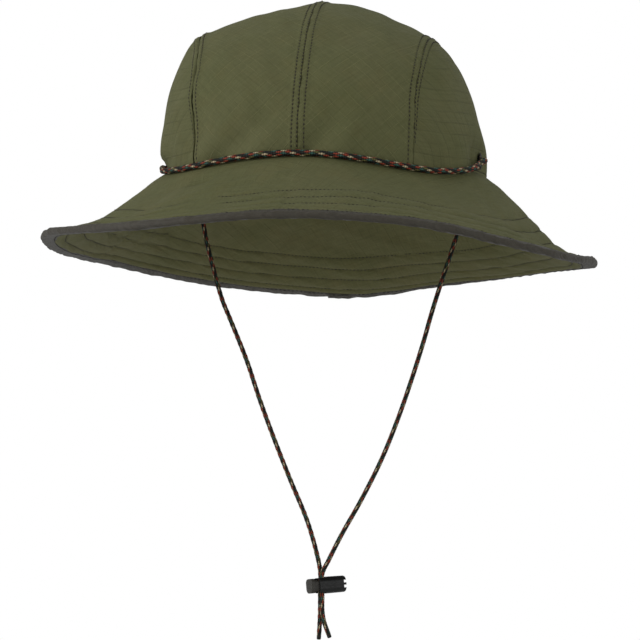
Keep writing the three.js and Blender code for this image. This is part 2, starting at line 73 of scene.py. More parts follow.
# Values at even bearings from the front and round by +X.
BASE_LIFT = np.array([2.5, -4, 3.5, 0, 0, 0, 6, -0.5]) * MM
BRIM_REACH = np.array([62.5, 61.5, 54.7, 64.2, 62.6, 68.5, 59.8, 64.3]) * MM
BRIM_EDGE_Z = np.array([
    -35.1, -36.7, -39.9, -45, -46.9, -45.3, -41.1, -38.2, -34.2, -31.7, -31.9, -33.9,
    -38.3, -36.6, -33.2, -29.3, -26.7, -27.4,
    -28.7, -29.4, -31,             # moved, so not the CAD part's
    -34.3, -36.8, -36.3,
]) * MM
BRIM_BEND = np.array([0.55, 0.53, 0.68, 0.99, 0.63, 0.23, 0.97, 0.93])
BRIM_SWELL = np.array([-0.1, 0, -0.39, -0.38, -0.24, -0.21, -0.09, 0.07])
BRIM_DEPTH = 0.0027
BINDING_WIDTH = 0.0065

SWEATBAND_FOOT = 0.001
SWEATBAND_HEIGHT = 0.030
SWEATBAND_SETBACK = 0.0034

EYELET_Y = -0.005
EYELET_Z = 0.0105
BAND_CORD_DIAMETER = 0.0034
CHIN_CORD_DIAMETER = 0.0026

LOCK_CENTRE = (-0.0008, -0.00635, -0.2120)
LOCK_TURN = 30
LOCK_TILT = 5
LOCK_CORD_STATION = 0.007

# ---- driving dimensions of the looks ----

CLOTH = 0.0005                 # thickness of the shell cloth
SEAM_ROW = 0.0031              # from a crown seam to the stitch row beside it
STITCH_PITCH = 0.0024
BRIM_ROWS = [0.0108 + 0.0097 * i for i in range(4)]   # stitch rows, from the brim's edge
BRIM_BEARINGS = np.linspace(0, 360, 721)[:-1]
DEGREES = math.pi / 180
SIDES = (("left", -1), ("right", 1))
PANEL_STEP = 0.00066
EYELET_HOLE_RADIUS = 0.0030


def degrees_sin(angle):
    return np.sin(angle * DEGREES)


def degrees_cos(angle):
    return np.cos(angle * DEGREES)


# ---- surfaces of the hat, as the CAD part has them ----

def around(values, bearing):
    """A smooth closed curve through even values, read at a bearing in degrees."""
    place = (bearing % 360) / (360 / len(values))
    i = np.floor(place).astype(int)
    f = place - i
    a, b, c, d = (values[(i + k) % len(values)] for k in (-1, 0, 1, 2))
    return b + 0.5 * f * (c - a + f * (2 * a - 5 * b + 4 * c - d + f * (3 * (b - c) + d - a)))


def signed_power(value, power):
    return np.sign(value) * np.abs(value) ** power


def base_point(bearing):
    power = 2 / HEAD_SQUARENESS
    x = HEAD_HALF_WIDTH * signed_power(degrees_sin(bearing), power)
    y = -HEAD_HALF_LENGTH * signed_power(degrees_cos(bearing), power)
    return np.stack([x, y, np.zeros_like(x)], -1)


def base_normal(bearing):
    p = base_point(bearing)
    power = HEAD_SQUARENESS - 1
    n = np.stack([
        signed_power(p[..., 0] / HEAD_HALF_WIDTH, power) / HEAD_HALF_WIDTH,
        signed_power(p[..., 1] / HEAD_HALF_LENGTH, power) / HEAD_HALF_LENGTH,
        np.zeros_like(p[..., 0]),
    ], -1)
    return unit(n)


def unit(v):
    return v / np.maximum(np.linalg.norm(v, axis=-1, keepdims=True), 1e-12)


def side_profile(reach):
    share = np.maximum(0, 1 - (reach / HEAD_HALF_WIDTH) ** SIDE_PROFILE_POWER)
    return SIDE_PROFILE_HEIGHT * share ** (1 / SIDE_PROFILE_POWER)


def crown_height(x):
    across = np.abs(x) / SIDE_SEAM_X
    drop = CROWN_HEIGHT - side_profile(SIDE_SEAM_X)
    top = CROWN_HEIGHT - drop * (0.65 * across + 0.35 * across ** 2)
    return np.where(across >= 1, side_profile(np.abs(x)), top)


def crown_half_length(x):
    share = np.abs(x) / HEAD_HALF_WIDTH
    left = np.maximum(0, 1 - share ** HEAD_SQUARENESS)
    return HEAD_HALF_LENGTH * left ** (1 / HEAD_SQUARENESS)


def crown_power(x):
    return 1.8 + 0.35 * np.abs(x) / SIDE_SEAM_X


def settle(x, y, z):
    """Leans the crown over, stands its seams and walls wide, and waves its base edge."""
    x, y, z = np.broadcast_arrays(x, y, z)
    bearing = np.arctan2(x, -y) / DEGREES
    fade = np.maximum(0, 1 - z / LIFT_FADE_HEIGHT) ** 1.5
    reach = np.minimum(1, np.abs(x) / HEAD_HALF_WIDTH)
    shoulder = 9.48 * reach ** 3 * (1 - reach)
    lean = 1 - CROWN_LEAN * np.sign(x) * shoulder
    lifted = z * lean + around(BASE_LIFT, bearing) * fade
    t = z / 0.1
    side = (x > 0).astype(int)
    terms = (np.moveaxis(table[side], -1, 0) for table in (SEAM_SPREAD, WALL_SPREAD))
    seam, wall = (t * (a + b * t + c * t * t) for a, b, c in terms)
    wider = seam * 6.75 * reach ** 2 * (1 - reach) + wall * reach ** 2
    return np.stack([x + np.sign(x) * wider, y, lifted], -1)


def crown_point(x, turn):
    power = 2 / crown_power(x)
    y = crown_half_length(x) * signed_power(degrees_sin(turn), power)
    z = crown_height(x) * np.maximum(0, degrees_cos(turn)) ** power
    return settle(x + 0 * z, y, z)


def bisect(f, low, high):
    """Where f, a function of arrays that rises or falls, passes through zero."""
    a = np.array(low, float)
    b = np.array(high, float)
    rising = f(b) > f(a)
    for _ in range(40):
        middle = (a + b) / 2
        upper = (f(middle) > 0) == rising
        b = np.where(upper, middle, b)
        a = np.where(upper, a, middle)
    return (a + b) / 2


def section_excess(x, y, z):
    power = crown_power(x)
    length = np.maximum(crown_half_length(x), 1e-9)
    height = np.maximum(crown_height(x), 1e-9)
    return (np.abs(y) / length) ** power + (z / height) ** power - 1


def side_point(side, along, rise):
    """A point of a side panel: along is its y, rise its share of the seam's height there."""
    half = crown_half_length(SIDE_SEAM_X)
    power = crown_power(SIDE_SEAM_X)
    share = np.maximum(0, 1 - (np.abs(along) / half) ** power) ** (1 / power)
    z = rise * crown_height(SIDE_SEAM_X) * share
    along = along + 0 * z
    x = bisect(
        lambda trial: section_excess(trial, along, z),
        np.full(z.shape, SIDE_SEAM_X),
        np.full(z.shape, HEAD_HALF_WIDTH),
    )
    x = np.where(rise >= 1, SIDE_SEAM_X, x)
    return settle(side * x, along, z)


def crown_at_height(bearing, z):
    """The crown's wall at a height, on the line from the opening's centre to a bearing."""
    base = base_point(bearing)
    x, y = base[..., 0], base[..., 1]
    share = bisect(
        lambda trial: section_excess(np.abs(x * trial), y * trial, z),
        np.full(x.shape, 0.3),
        np.ones(x.shape),
    )
    return settle(x * share, y * share, z + 0 * x)


def brim_point(bearing, share):
    """share runs from 0 at the crown to 1 at the brim's edge."""
    lift = around(BASE_LIFT, bearing)
    drop = lift - around(BRIM_EDGE_Z, bearing)
    bend = around(BRIM_BEND, bearing)
    swell = around(BRIM_SWELL, bearing) * (1 - 2 * share)
    fallen = share * (1 + (bend + swell) * (1 - share))
    reach = around(BRIM_REACH, bearing) * share
    p = base_point(bearing + 0 * share) + base_normal(bearing + 0 * share) * reach[..., None]
    p[..., 2] = lift - drop * fallen
    return p


EYELET_DRAW = (0.0038, 0.0027)   # how far the taut cord draws the left and right eyelets in


def drawn_in(points):
    """Moves points near an eyelet in towards the head, as the cord's pull does."""
    x, y, z = np.moveaxis(points, -1, 0)
    depth = np.where(x < 0, *EYELET_DRAW) * smooth_step(0.055, 0.075, np.abs(x))
    middle, reach = np.where(x < 0, -0.018, -0.012), np.where(x < 0, 0.034, 0.018)
    height, rise = np.where(x < 0, 0.0068, 0.009), np.where(x < 0, 0.0060, 0.0098)
    near = np.exp(-(((y - middle) / reach) ** 2 + ((z - height) / rise) ** 2) ** 2)
    return points - np.stack([np.sign(x) * depth * near, 0 * y, 0 * z], -1)


# ---- sampling and relief ----

def lengths(points, axis):
    """Distance along a grid's lines from their first point."""
    step = np.linalg.norm(np.diff(points, axis=axis), axis=-1)
    start = np.zeros_like(np.take(step, [0], axis=axis))
    return np.concatenate([start, np.cumsum(step, axis=axis)], axis=axis)


def even_rows(curve, start, end, step):
    """Parameters of a curve whose points lie about step apart."""
    fine = np.linspace(start, end, 2000)
    along = lengths(curve(fine), 0)
    return np.interp(np.linspace(0, along[-1], round(along[-1] / step) + 1), along, fine)


def sample_strip(surface, rows, start, end, near, far, middle):
    """Samples surface(row, share) across its strip, share going from start to end: at the
    near distances from its start, at the far distances from its end, and evenly between.
    Returns the points and their distances from the start and from the end."""
    shares = np.linspace(start, end, 240)
    table = lengths(surface(rows[:, None], shares[None, :]), 1)
    total = table[:, -1:]
    scale = np.minimum(1, total / (1.6 * (near[-1] + far[-1])))
    left = near * scale
    right = total - far[::-1] * scale
    between = np.linspace(0, 1, middle + 2)[1:-1]
    inner = left[:, -1:] + between * (right[:, :1] - left[:, -1:])
    at = np.hstack([left, inner, right])
    share = np.array([np.interp(a, line, shares) for a, line in zip(at, table)])
    return surface(rows[:, None], share), at, total - at


def grid_normals(points, ring):
    """Unit normals of a grid, pointing away from the head."""
    if ring:
        du = np.roll(points, -1, 0) - np.roll(points, 1, 0)
    else:
        du = np.gradient(points, axis=0)
    n = unit(np.cross(du, np.gradient(points, axis=1)))
    away = points - np.array([0, 0, -0.05])
    flip = np.sign((n * away).sum(-1).mean())
    return n * flip


def smooth_step(low, high, value):
    t = np.clip((value - low) / (high - low), 0, 1)
    return t * t * (3 - 2 * t)


def random_field(points, wavelength, seed, waves=16):
    """A smooth random height over points in space, mostly from -1 to 1."""
    rng = np.random.default_rng(seed)
    direction = unit(rng.normal(size=(waves, 3)))
    direction *= 2 * math.pi / (wavelength * rng.uniform(0.7, 1.5, (waves, 1)))
    phase = rng.uniform(0, 2 * math.pi, waves)
    return np.sin(points @ direction.T + phase).sum(-1) * math.sqrt(1 / waves)


def flat_field(s, d, wavelength, stretch, seed):
    """random_field over a strip, with its features stretched across the strip."""
    s, d = np.broadcast_arrays(s, d)
    return random_field(np.stack([s, d / stretch, 0 * s], -1), wavelength, seed)


def valley(distance, width):
    return np.exp(-(distance / width) ** 2)


def seam_relief(d, s, seed, row=SEAM_ROW):
    """Height of the cloth near a seam: the edge rolls in, the allowance under it lifts it,
    and the stitch row beside it pulls it down and puckers it."""
    lift = 0.00045 * smooth_step(row + 0.0022, row + 0.0002, d)
    roll = -0.00022 * valley(d, 0.00045)
    pull = 0.6 + 0.4 * np.cos(2 * math.pi * s / STITCH_PITCH)
    pressed = -0.00042 * valley(d - row, 0.00055) * pull
    pucker = 0.00022 * flat_field(s, d, 0.0065, 4, seed) * np.exp(-d / 0.007)
    return lift + roll + pressed + pucker


def segment_distance(x, z, start, end):
    """Distance in the XZ plane from a segment, and the share of the way along it."""
    a = np.array(start)
    d = np.array(end) - a
    t = np.clip(((x - a[0]) * d[0] + (z - a[1]) * d[1]) / (d @ d), 0, 1)
    return np.hypot(x - a[0] - t * d[0], z - a[1] - t * d[1]), t


# Soft folds in the crown's front: where each starts and ends, (x, z), its half width and height.
FRONT_FOLDS = [
    ((-0.054, 0.003), (-0.012, 0.044), 0.0070, 0.0028),
    ((-0.044, 0.002), (-0.002, 0.032), 0.0055, -0.0024),
    ((-0.026, 0.002), (0.000, 0.030), 0.0050, 0.0020),
    ((0.005, 0.004), (0.026, 0.034), 0.0055, -0.0036),
    ((0.014, 0.002), (0.042, 0.034), 0.0060, 0.0010),
    ((0.030, 0.000), (0.050, 0.060), 0.0070, -0.0006),
    ((0.071, -0.004), (0.068, 0.024), 0.0028, -0.0010),
    ((0.077, -0.004), (0.075, 0.030), 0.0030, 0.0009),
    ((0.082, 0.000), (0.081, 0.034), 0.0028, -0.0009),
    ((-0.075, 0.002), (-0.069, 0.036), 0.0050, -0.0006),
]
BACK_FOLDS = [
    ((-0.030, 0.002), (-0.012, 0.040), 0.0070, -0.0009),
    ((0.022, 0.000), (0.040, 0.034), 0.0065, 0.0009),
    ((0.060, 0.004), (0.050, 0.044), 0.0060, -0.0008),
    ((-0.066, 0.002), (-0.056, 0.030), 0.0050, 0.0007),
]


def fold_relief(points):
    """Soft folds and unevenness of the crown's cloth."""
    x, y, z = np.moveaxis(points, -1, 0)
    height = 0.0006 * random_field(points, 0.055, 11) + 0.00030 * random_field(points, 0.017, 12)
    across, high = np.abs(x), smooth_step(0.065, 0.085, z)
    height = height + high * (0.0003 * valley(across - 0.030, 0.014) - 0.0011 * valley(x, 0.012))
    height = height - smooth_step(0.055, 0.075, z) * 0.0009 * valley(across - 0.0575, 0.008)
    left, right = smooth_step(-0.055, -0.07, x), smooth_step(0.055, 0.07, x)
    height = height - 0.0005 * left * valley(z - 0.046, 0.017)
    height = height + right * (
        0.0007 * valley(z - 0.061, 0.011) - 0.0013 * valley(z - 0.036, 0.013)
    )
    for folds, mask in ((FRONT_FOLDS, y < 0), (BACK_FOLDS, y >= 0)):
        for start, end, width, rise in folds:
            away, t = segment_distance(x, z, start, end)
            fade = (1 - t) ** 0.6 * np.minimum(1, np.abs(y) / 0.02)
            height = height + mask * rise * valley(away, width * (1 + 0.9 * t)) * fade
    return height


# ---- meshes ----

def corner_values(grid):
    """The four corners' values of each face of a grid."""
    corners = [grid[:-1, :-1], grid[1:, :-1], grid[1:, 1:], grid[:-1, 1:]]
    return np.stack(corners, 2).reshape(-1, 4, grid.shape[-1])


def quads(index):
    return corner_values(index[..., None])[..., 0]


def wrapped(index):
    """A grid of points' numbers with its first column again after its last."""
    return np.hstack([index, index[:, :1]])


def make_piece(name, points, faces, uv=None, groove=None, material=None):
    """A mesh object from points, a list of arrays of faces and, for each face corner, uv.
    groove is a value at each point that the materials read: painted shade, painted highlight,
    melt."""
    mesh = bpy.data.meshes.new(name)
    lists = [f.tolist() for f in faces]
    mesh.from_pydata(points.tolist(), [], [face for group in lists for face in group])
    if uv is not None:
        layer = mesh.uv_layers.new(name="cloth")
        layer.data.foreach_set("uv", np.concatenate([u.reshape(-1, 2) for u in uv]).ravel())
    if groove is not None:
        attribute = mesh.attributes.new("groove", "FLOAT", "POINT")
        attribute.data.foreach_set("value", np.asarray(groove, np.float32).ravel())
    mesh.polygons.foreach_set("use_smooth", [True] * len(mesh.polygons))
    mesh.validate()
    mesh.update()
    piece = bpy.data.objects.new(name, mesh)
    bpy.context.scene.collection.objects.link(piece)
    if material:
        mesh.materials.append(material)
    return piece


def signed_volume(points, faces):
    volume = 0
    for group in faces:
        for k in range(1, group.shape[1] - 1):
            a, b, c = points[group[:, 0]], points[group[:, k]], points[group[:, k + 1]]
            volume += (a * np.cross(b, c)).sum() / 6
    return volume


def facing_out(points, faces, corners=()):
    """A closed shape's faces and corner values, turned over if the faces look inwards."""
    if signed_volume(points, faces) < 0:
        return [f[:, ::-1] for f in faces], [u[:, ::-1] for u in corners]
    return faces, corners


def closed_piece(name, points, faces, material=None):
    return make_piece(name, points, facing_out(points, faces)[0], material=material)


def bar(name, rings, material=None):
    """A closed bar through rings of points, listed from one end to the other."""
    points = rings.reshape(-1, 3)
    index = np.arange(len(points)).reshape(len(rings), -1)
    faces = [quads(wrapped(index)), index[:1], index[-1:, ::-1]]
    return closed_piece(name, points, faces, material)


def cloth_piece(name, outer, inner, uv, ring, material, groove=None):
    """A closed sheet between two grids. A ring joins its last row to its first, and then
    the inner grid may have fewer columns. uv has one more row than a ring's grid."""
    rows, cols = outer.shape[:2]
    points = np.concatenate([outer.reshape(-1, 3), inner.reshape(-1, 3)])
    top = np.arange(rows * cols).reshape(rows, cols)
    low = rows * cols + np.arange(rows * inner.shape[1]).reshape(rows, -1)
    if ring:
        top = np.vstack([top, top[:1]])
        low = np.vstack([low, low[:1]])
    uv_low = uv[:, np.linspace(0, cols - 1, low.shape[1]).round().astype(int)]
    every = slice(None)
    strips = [((every, 0), -1), ((every, -1), 1)]
    if not ring:
        strips += [((0, every), 1), ((-1, every), -1)]
    faces = [quads(top), quads(low)[:, ::-1]]
    corner_uv = [corner_values(uv), corner_values(uv_low)[:, ::-1]]
    for edge, way in strips:
        faces.append(quads(np.stack([top[edge], low[edge]], 1))[:, ::way])
        corner_uv.append(corner_values(np.stack([uv[edge], uv_low[edge]], 1))[:, ::way])
    faces, corner_uv = facing_out(points, faces, corner_uv)
    if groove is not None:
        groove = np.concatenate([groove.ravel(), np.zeros(inner.size // 3)])
    return make_piece(name, points, faces, corner_uv, groove, material)


def read_line(at, along, values):
    """The three values given along a line, read at other distances along it."""
    return np.stack([np.interp(at, along, values[:, k]) for k in range(3)], -1)


def column_at(grid, distances, wanted):
    """The values of a grid along the line that lies the wanted distance across it."""
    out = []
    for row, at in zip(grid, distances):
        order = at.argsort()
        out.append([np.interp(wanted, at[order], row[order, k]) for k in range(row.shape[1])])
    return np.array(out)


def row_at(outer, normal, distances, wanted):
    """A line across a cloth at a distance, its normals, and no settings of its own."""
    return column_at(outer, distances, wanted), column_at(normal, distances, wanted), {}


def circle(sides):
    return np.linspace(0, 2 * math.pi, sides, endpoint=False)


def stitch_row(line, normals, pitch=STITCH_PITCH, fill=0.62, radius=0.00034, loft=0.00020):
    """Points and faces of a row of lockstitches: short threads that arch from hole to hole."""
    along = lengths(line, 0)
    count = int(along[-1] / pitch)
    starts = (np.arange(count) + (1 - fill) / 2) * along[-1] / count
    rings, sides = 5, 6
    t = np.linspace(0, 1, rings)
    s = starts[:, None] + t * pitch * fill
    centre = read_line(s, along, line)
    normal = unit(read_line(s, along, normals))
    tangent = unit(np.gradient(centre, axis=1))
    cross = unit(np.cross(normal, tangent))
    arch = (np.sin(math.pi * t) ** 0.6)[None, :, None]
    centre = centre + normal * (loft * arch - 0.00008)
    angle = circle(sides)[:, None]
    girth = (radius * (0.55 + 0.45 * arch))[..., None]
    ring = np.cos(angle) * normal[:, :, None] * 0.8 + np.sin(angle) * cross[:, :, None]
    points = (centre[:, :, None] + ring * girth).reshape(-1, 3)
    index = wrapped(np.arange(rings * sides).reshape(rings, sides))
    one = quads(index)
    ends = np.array([index[0, :-1], index[-1, :-1][::-1]])
    shift = (np.arange(count) * rings * sides)[:, None, None]
    return points, [(one + shift).reshape(-1, 4), (ends + shift).reshape(-1, sides)]


def stitching(name, rows, material):
    """One piece of many stitch rows, each given as (line, normals, settings)."""
    points, faces = [], []
    base = 0
    for line, normals, settings in rows:
        p, f = stitch_row(line, normals, **settings)
        points.append(p)
        faces += [group + base for group in f]
        base += len(p)
    return make_piece(name, np.concatenate(points), faces, material=material)


def belongs(piece, body, slot, *nodes):
    """Rides a finished piece on its body and hides the nodes it stands for. slot is not used."""
    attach(piece, body)
    if nodes:
        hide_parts(*nodes)
    return piece


# ---- material nodes ----

class Nodes:
    """A material's node tree, with short ways to add to it."""

    def __init__(self, name):
        self.material = bpy.data.materials.new(name)
        self.material.use_nodes = True
        self.tree = self.material.node_tree
        self.tree.nodes.clear()

    def add(self, kind, inputs=(), **settings):
        made = self.tree.nodes.new("ShaderNode" + kind)
        for key, value in settings.items():
            setattr(made, key, value)
        for key, value in dict(inputs).items():
            self.feed(made.inputs[key], value)
        return made

    def feed(self, socket, value):
        if isinstance(value, bpy.types.NodeSocket):
            self.tree.links.new(value, socket)
        elif isinstance(value, (tuple, list)) and len(value) == 3 and socket.type == "RGBA":
            socket.default_value = (*value, 1)
        else:
            socket.default_value = value

    def calc(self, operation, *values):
        made = self.add("Math", operation=operation)
        for socket, value in zip(made.inputs, values):
            self.feed(socket, value)
        return made.outputs[0]

    def mix(self, share, first, second, blend="MIX"):
        made = self.add("Mix", data_type="RGBA", blend_type=blend, clamp_factor=True)
        self.feed(made.inputs[0], share)
        self.feed(made.inputs[6], first)
        self.feed(made.inputs[7], second)
        return made.outputs[2]

    def mottle(self, value, low, high, colour, dark, light):
        """A colour that goes from darker to lighter as value goes from low to high."""
        return self.mix(self.band(value, low, high), shaded(colour, dark), shaded(colour, light))

    def stain(self, share, tone, *colour):
        """A tone that is multiplied by a colour where share is 1."""
        return self.mix(share, tone, self.mix(1.0, tone, colour, "MULTIPLY"))

    def uv(self, turn=0):
        """The cloth's own coordinates, in metres, turned by an angle in degrees."""
        place = self.add("UVMap", uv_map="cloth")
        rotation = (0, 0, turn * DEGREES)
        turned = self.add("Mapping", {"Vector": place.outputs[0], "Rotation": rotation})
        parts = self.add("SeparateXYZ", {0: turned.outputs[0]})
        return turned.outputs[0], parts.outputs[0], parts.outputs[1]

    def noise(self, vector, size, detail=2.0, stretch=(1, 1, 1)):
        """Noise whose features are about size metres across."""
        scaled = self.add("Mapping", {"Vector": vector, "Scale": stretch})
        inputs = {"Vector": scaled.outputs[0], "Scale": 1 / size, "Detail": detail}
        return self.add("TexNoise", inputs).outputs["Fac"]

    def groove(self):
        return self.add("Attribute", attribute_name="groove").outputs["Fac"]

    def position(self):
        return self.add("TexCoord").outputs["Object"]

    def band(self, value, low, high, start=0.0, end=1.0):
        made = self.add(
            "MapRange",
            {"Value": value, "From Min": low, "From Max": high, "To Min": start, "To Max": end},
            interpolation_type="SMOOTHSTEP",
        )
        return made.outputs[0]

    def wave(self, value, pitch, phase=0.0):
        """A sine wave from -1 to 1 along value, one cycle for each pitch."""
        return self.calc("SINE", self.calc("MULTIPLY_ADD", value, 2 * math.pi / pitch, phase))

    def bump(self, height, distance, strength=1.0, under=None):
        inputs = {"Height": height, "Distance": distance, "Strength": strength}
        if under is not None:
            inputs["Normal"] = under
        return self.add("Bump", inputs).outputs[0]

    def finish(self, **inputs):
        shader = self.add("BsdfPrincipled")
        for key, value in inputs.items():
            self.feed(shader.inputs[key.replace("_", " ")], value)
        output = self.add("OutputMaterial", {"Surface": shader.outputs[0]})
        self.tree.nodes.active = output
        return self.material


def linear(red, green, blue):
    """A colour given as 0 to 255 in sRGB, as Blender's linear values."""
    shares = [c / 255 for c in (red, green, blue)]
    return tuple(c / 12.92 if c <= 0.04045 else ((c + 0.055) / 1.055) ** 2.4 for c in shares)


def shaded(colour, share):
    return tuple(c * share for c in colour)


OLIVE = linear(87, 87, 57)
UNDERSIDE = linear(88, 86, 55)
LINING = linear(46, 48, 36)
BINDING = linear(49, 45, 36)
THREAD = linear(44, 38, 24)


def ripstop(name, colour, turn, thread=0.00045, grid=0.0050, line=1.3):
    """Thin plain-woven cloth with a grid of thicker threads, turned by an angle."""
    n = Nodes(name)
    vector, u, v = n.uv(turn)
    weave = n.calc("MULTIPLY", n.wave(u, thread), n.wave(v, thread))
    lines = []
    for along, across in ((u, v), (v, u)):
        place = n.calc("FRACT", n.calc("DIVIDE", n.calc("ADD", along, 10.0), grid))
        ridge = n.band(n.calc("ABSOLUTE", n.calc("SUBTRACT", place, 0.5)), 0.075, 0.02)
        drift = n.noise(vector, 0.009, 2.0, (0.25, 1, 1) if along is v else (1, 0.25, 1))
        lines.append(n.calc("MULTIPLY", ridge, n.band(drift, 0.35, 0.62, 0.25)))
    grid_lines = n.calc("MAXIMUM", *lines)
    slub_u = n.noise(vector, 0.0011, 2.0, (0.09, 1, 1))
    slub_v = n.noise(vector, 0.0011, 2.0, (1, 0.09, 1))
    slubs = n.calc("ADD", slub_u, slub_v)
    cloud = n.noise(n.position(), 0.035, 3.0)
    tone = n.mottle(slubs, 0.75, 1.25, colour, 0.94, 1.06)
    tone = n.stain(n.band(cloud, 0.3, 0.7), tone, 0.90, 0.93, 0.88)
    warm = n.noise(n.position(), 0.012, 2.0)
    tone = n.stain(n.band(warm, 0.45, 0.75, 0.0, 0.5), tone, 1.06, 0.99, 0.94)
    edge = n.stain(n.band(grid_lines, 0.05, 0.35), tone, 0.94, 0.94, 0.94)
    tone = n.stain(n.calc("MULTIPLY", grid_lines, 0.85), tone, line, line, line)
    tone = n.mix(n.band(grid_lines, 0.35, 0.7), edge, tone)
    # Painted shade: darker where the groove value is high, in seams, stitch rows and joins.
    groove_shade = n.groove()
    tone = n.mix(n.calc("MULTIPLY", groove_shade, 0.7), tone, shaded(colour, 0.3))
    threads = n.bump(weave, 0.00005, 0.6)
    raised = n.bump(grid_lines, 0.00018, 1.0, threads)
    surface = n.bump(slubs, 0.00002, 0.5, raised)
    return n.finish(
        Base_Color=tone,
        Roughness=n.band(slubs, 0.7, 1.3, 0.82, 0.74),
        Specular_IOR_Level=0.16,
        Sheen_Weight=0.06,
        Sheen_Roughness=0.5,
        Sheen_Tint=(*linear(170, 176, 130), 1),
        Normal=surface,
    )


def satin_tape(name, colour):
    """A folded tape with fine ribs across it, paler in a painted highlight along its upper fold.
    """
    n = Nodes(name)
    vector, u, v = n.uv()
    ribs = n.wave(u, 0.00062)
    fine = n.wave(v, 0.00030)
    edge_highlight = n.groove()
    mottled = n.noise(vector, 0.0016, 3.0, (1, 0.35, 1))
    broad = n.noise(n.position(), 0.02, 2.0)
    tone = n.mottle(mottled, 0.3, 0.7, colour, 0.86, 1.16)
    tone = n.stain(n.band(broad, 0.35, 0.7, 0.0, 0.6), tone, 1.08, 1.02, 0.94)
    # Painted highlight: the tape is paler in a band along the upper side of its folded edge.
    tone = n.mix(n.calc("MULTIPLY", edge_highlight, 0.4), tone, shaded(colour, 1.5))
    weave = n.calc("MULTIPLY", ribs, fine)
    surface = n.bump(mottled, 0.00010, 0.6, n.bump(weave, 0.00005, 0.7))
    return n.finish(
        Base_Color=tone,
        Roughness=n.band(mottled, 0.3, 0.7, 0.56, 0.44),
        Specular_IOR_Level=0.32,
        Sheen_Weight=0.05,
        Sheen_Roughness=0.35,
        Sheen_Tint=(*linear(150, 146, 138), 1),
        Normal=surface,
    )


def sewing_thread(name, colour):
    """Twisted thread: the twist is a fine slanted wave over each stitch."""
    n = Nodes(name)
    place = n.position()
    parts = n.add("SeparateXYZ", {0: place})
    slant = n.calc("ADD", n.calc("ADD", parts.outputs[0], parts.outputs[1]), parts.outputs[2])
    twist = n.wave(slant, 0.00028)
    patchy = n.noise(place, 0.004, 2.0)
    tone = n.mottle(patchy, 0.3, 0.7, colour, 0.75, 1.3)
    # Painted shade: the thread is darker in the troughs of its twist.
    tone = n.mix(n.band(twist, -1.0, 0.2, 0.45, 0.0), tone, shaded(colour, 0.4))
    return n.finish(
        Base_Color=tone,
        Roughness=0.62,
        Specular_IOR_Level=0.35,
        Normal=n.bump(twist, 0.00006, 0.7),
    )


CREAM = linear(176, 160, 128)
RUST = linear(136, 56, 34)
TEAL = linear(48, 84, 74)
MOSS = linear(92, 88, 46)
SLATE = linear(24, 26, 20)
RIGHT_STRANDS = [CREAM, TEAL, SLATE] * 2
LEFT_STRANDS = [RUST, MOSS, SLATE, RUST, RUST, SLATE]
STRANDS = 6                    # each way round the braid
TWISTS = 4                     # turns of twist that show along each strand's float
KEEP_POSITIVE = 400.0          # whole turns, so that no strand's number is negative


def braid(name):
    """Twelve strands, six each way, one over one under. uv is turns round, leads along."""
    n = Nodes(name)
    _, u, v = n.uv()
    right = n.calc("MULTIPLY", n.calc("ADD", n.calc("SUBTRACT", u, v), KEEP_POSITIVE), STRANDS)
    left = n.calc("MULTIPLY", n.calc("ADD", u, v), STRANDS)
    over = n.calc("MODULO", n.calc("ADD", n.calc("FLOOR", right), n.calc("FLOOR", left)), 2.0)
    on_top = n.calc("GREATER_THAN", over, 0.5)
    colours = []
    for place, palette in ((right, RIGHT_STRANDS), (left, LEFT_STRANDS)):
        which = n.calc("DIVIDE", n.calc("MODULO", n.calc("FLOOR", place), STRANDS), STRANDS)
        ramp = n.add("ValToRGB", {"Fac": n.calc("ADD", which, 0.5 / STRANDS)})
        ramp.color_ramp.interpolation = "CONSTANT"
        stops = ramp.color_ramp.elements
        for k, colour in enumerate(palette):
            stop = stops.new(k / STRANDS) if k else stops[0]
            stop.color = (*colour, 1)
        stops.remove(stops[-1])
        colours.append(ramp.outputs["Color"])
    tone = n.mix(on_top, colours[1], colours[0])
    across_right, across_left = n.calc("FRACT", right), n.calc("FRACT", left)
    strand = n.add("Mix", data_type="FLOAT")
    n.feed(strand.inputs[0], on_top)
    n.feed(strand.inputs[2], across_left)
    n.feed(strand.inputs[3], across_right)
    fibres = n.wave(strand.outputs[0], 0.5)
    slanted = n.calc("MULTIPLY_ADD", strand.outputs[0], 0.35 / (STRANDS * TWISTS), v)
    twist = n.wave(slanted, 1 / (STRANDS * TWISTS))
    pillow = n.calc("MULTIPLY", hump(n, across_right), hump(n, across_left))
    # Painted shade: near black in the crevices where the strands dip between crossings.
    tone = n.stain(n.band(pillow, 0.45, 0.15, 0.0, 0.95), tone, 0.12, 0.12, 0.11)
    # Painted shade: darker in the notches between the beads of each strand's twist.
    tone = n.stain(n.band(twist, 0.1, -0.9, 0.0, 0.85), tone, 0.25, 0.25, 0.25)
    fused = n.groove()
    tone = n.mix(fused, tone, shaded(SLATE, 0.7))
    surface = n.bump(twist, 0.00010, 0.8, n.bump(fibres, 0.00004, 0.6))
    return n.finish(
        Base_Color=tone,
        Roughness=n.band(fused, 0.0, 1.0, 0.65, 0.3),
        Specular_IOR_Level=0.22,
        Normal=surface,
    )


def hump(n, share):
    """Rises from 0 to 1 and back as share goes from 0 to 1."""
    return n.calc("SINE", n.calc("MULTIPLY", share, math.pi))


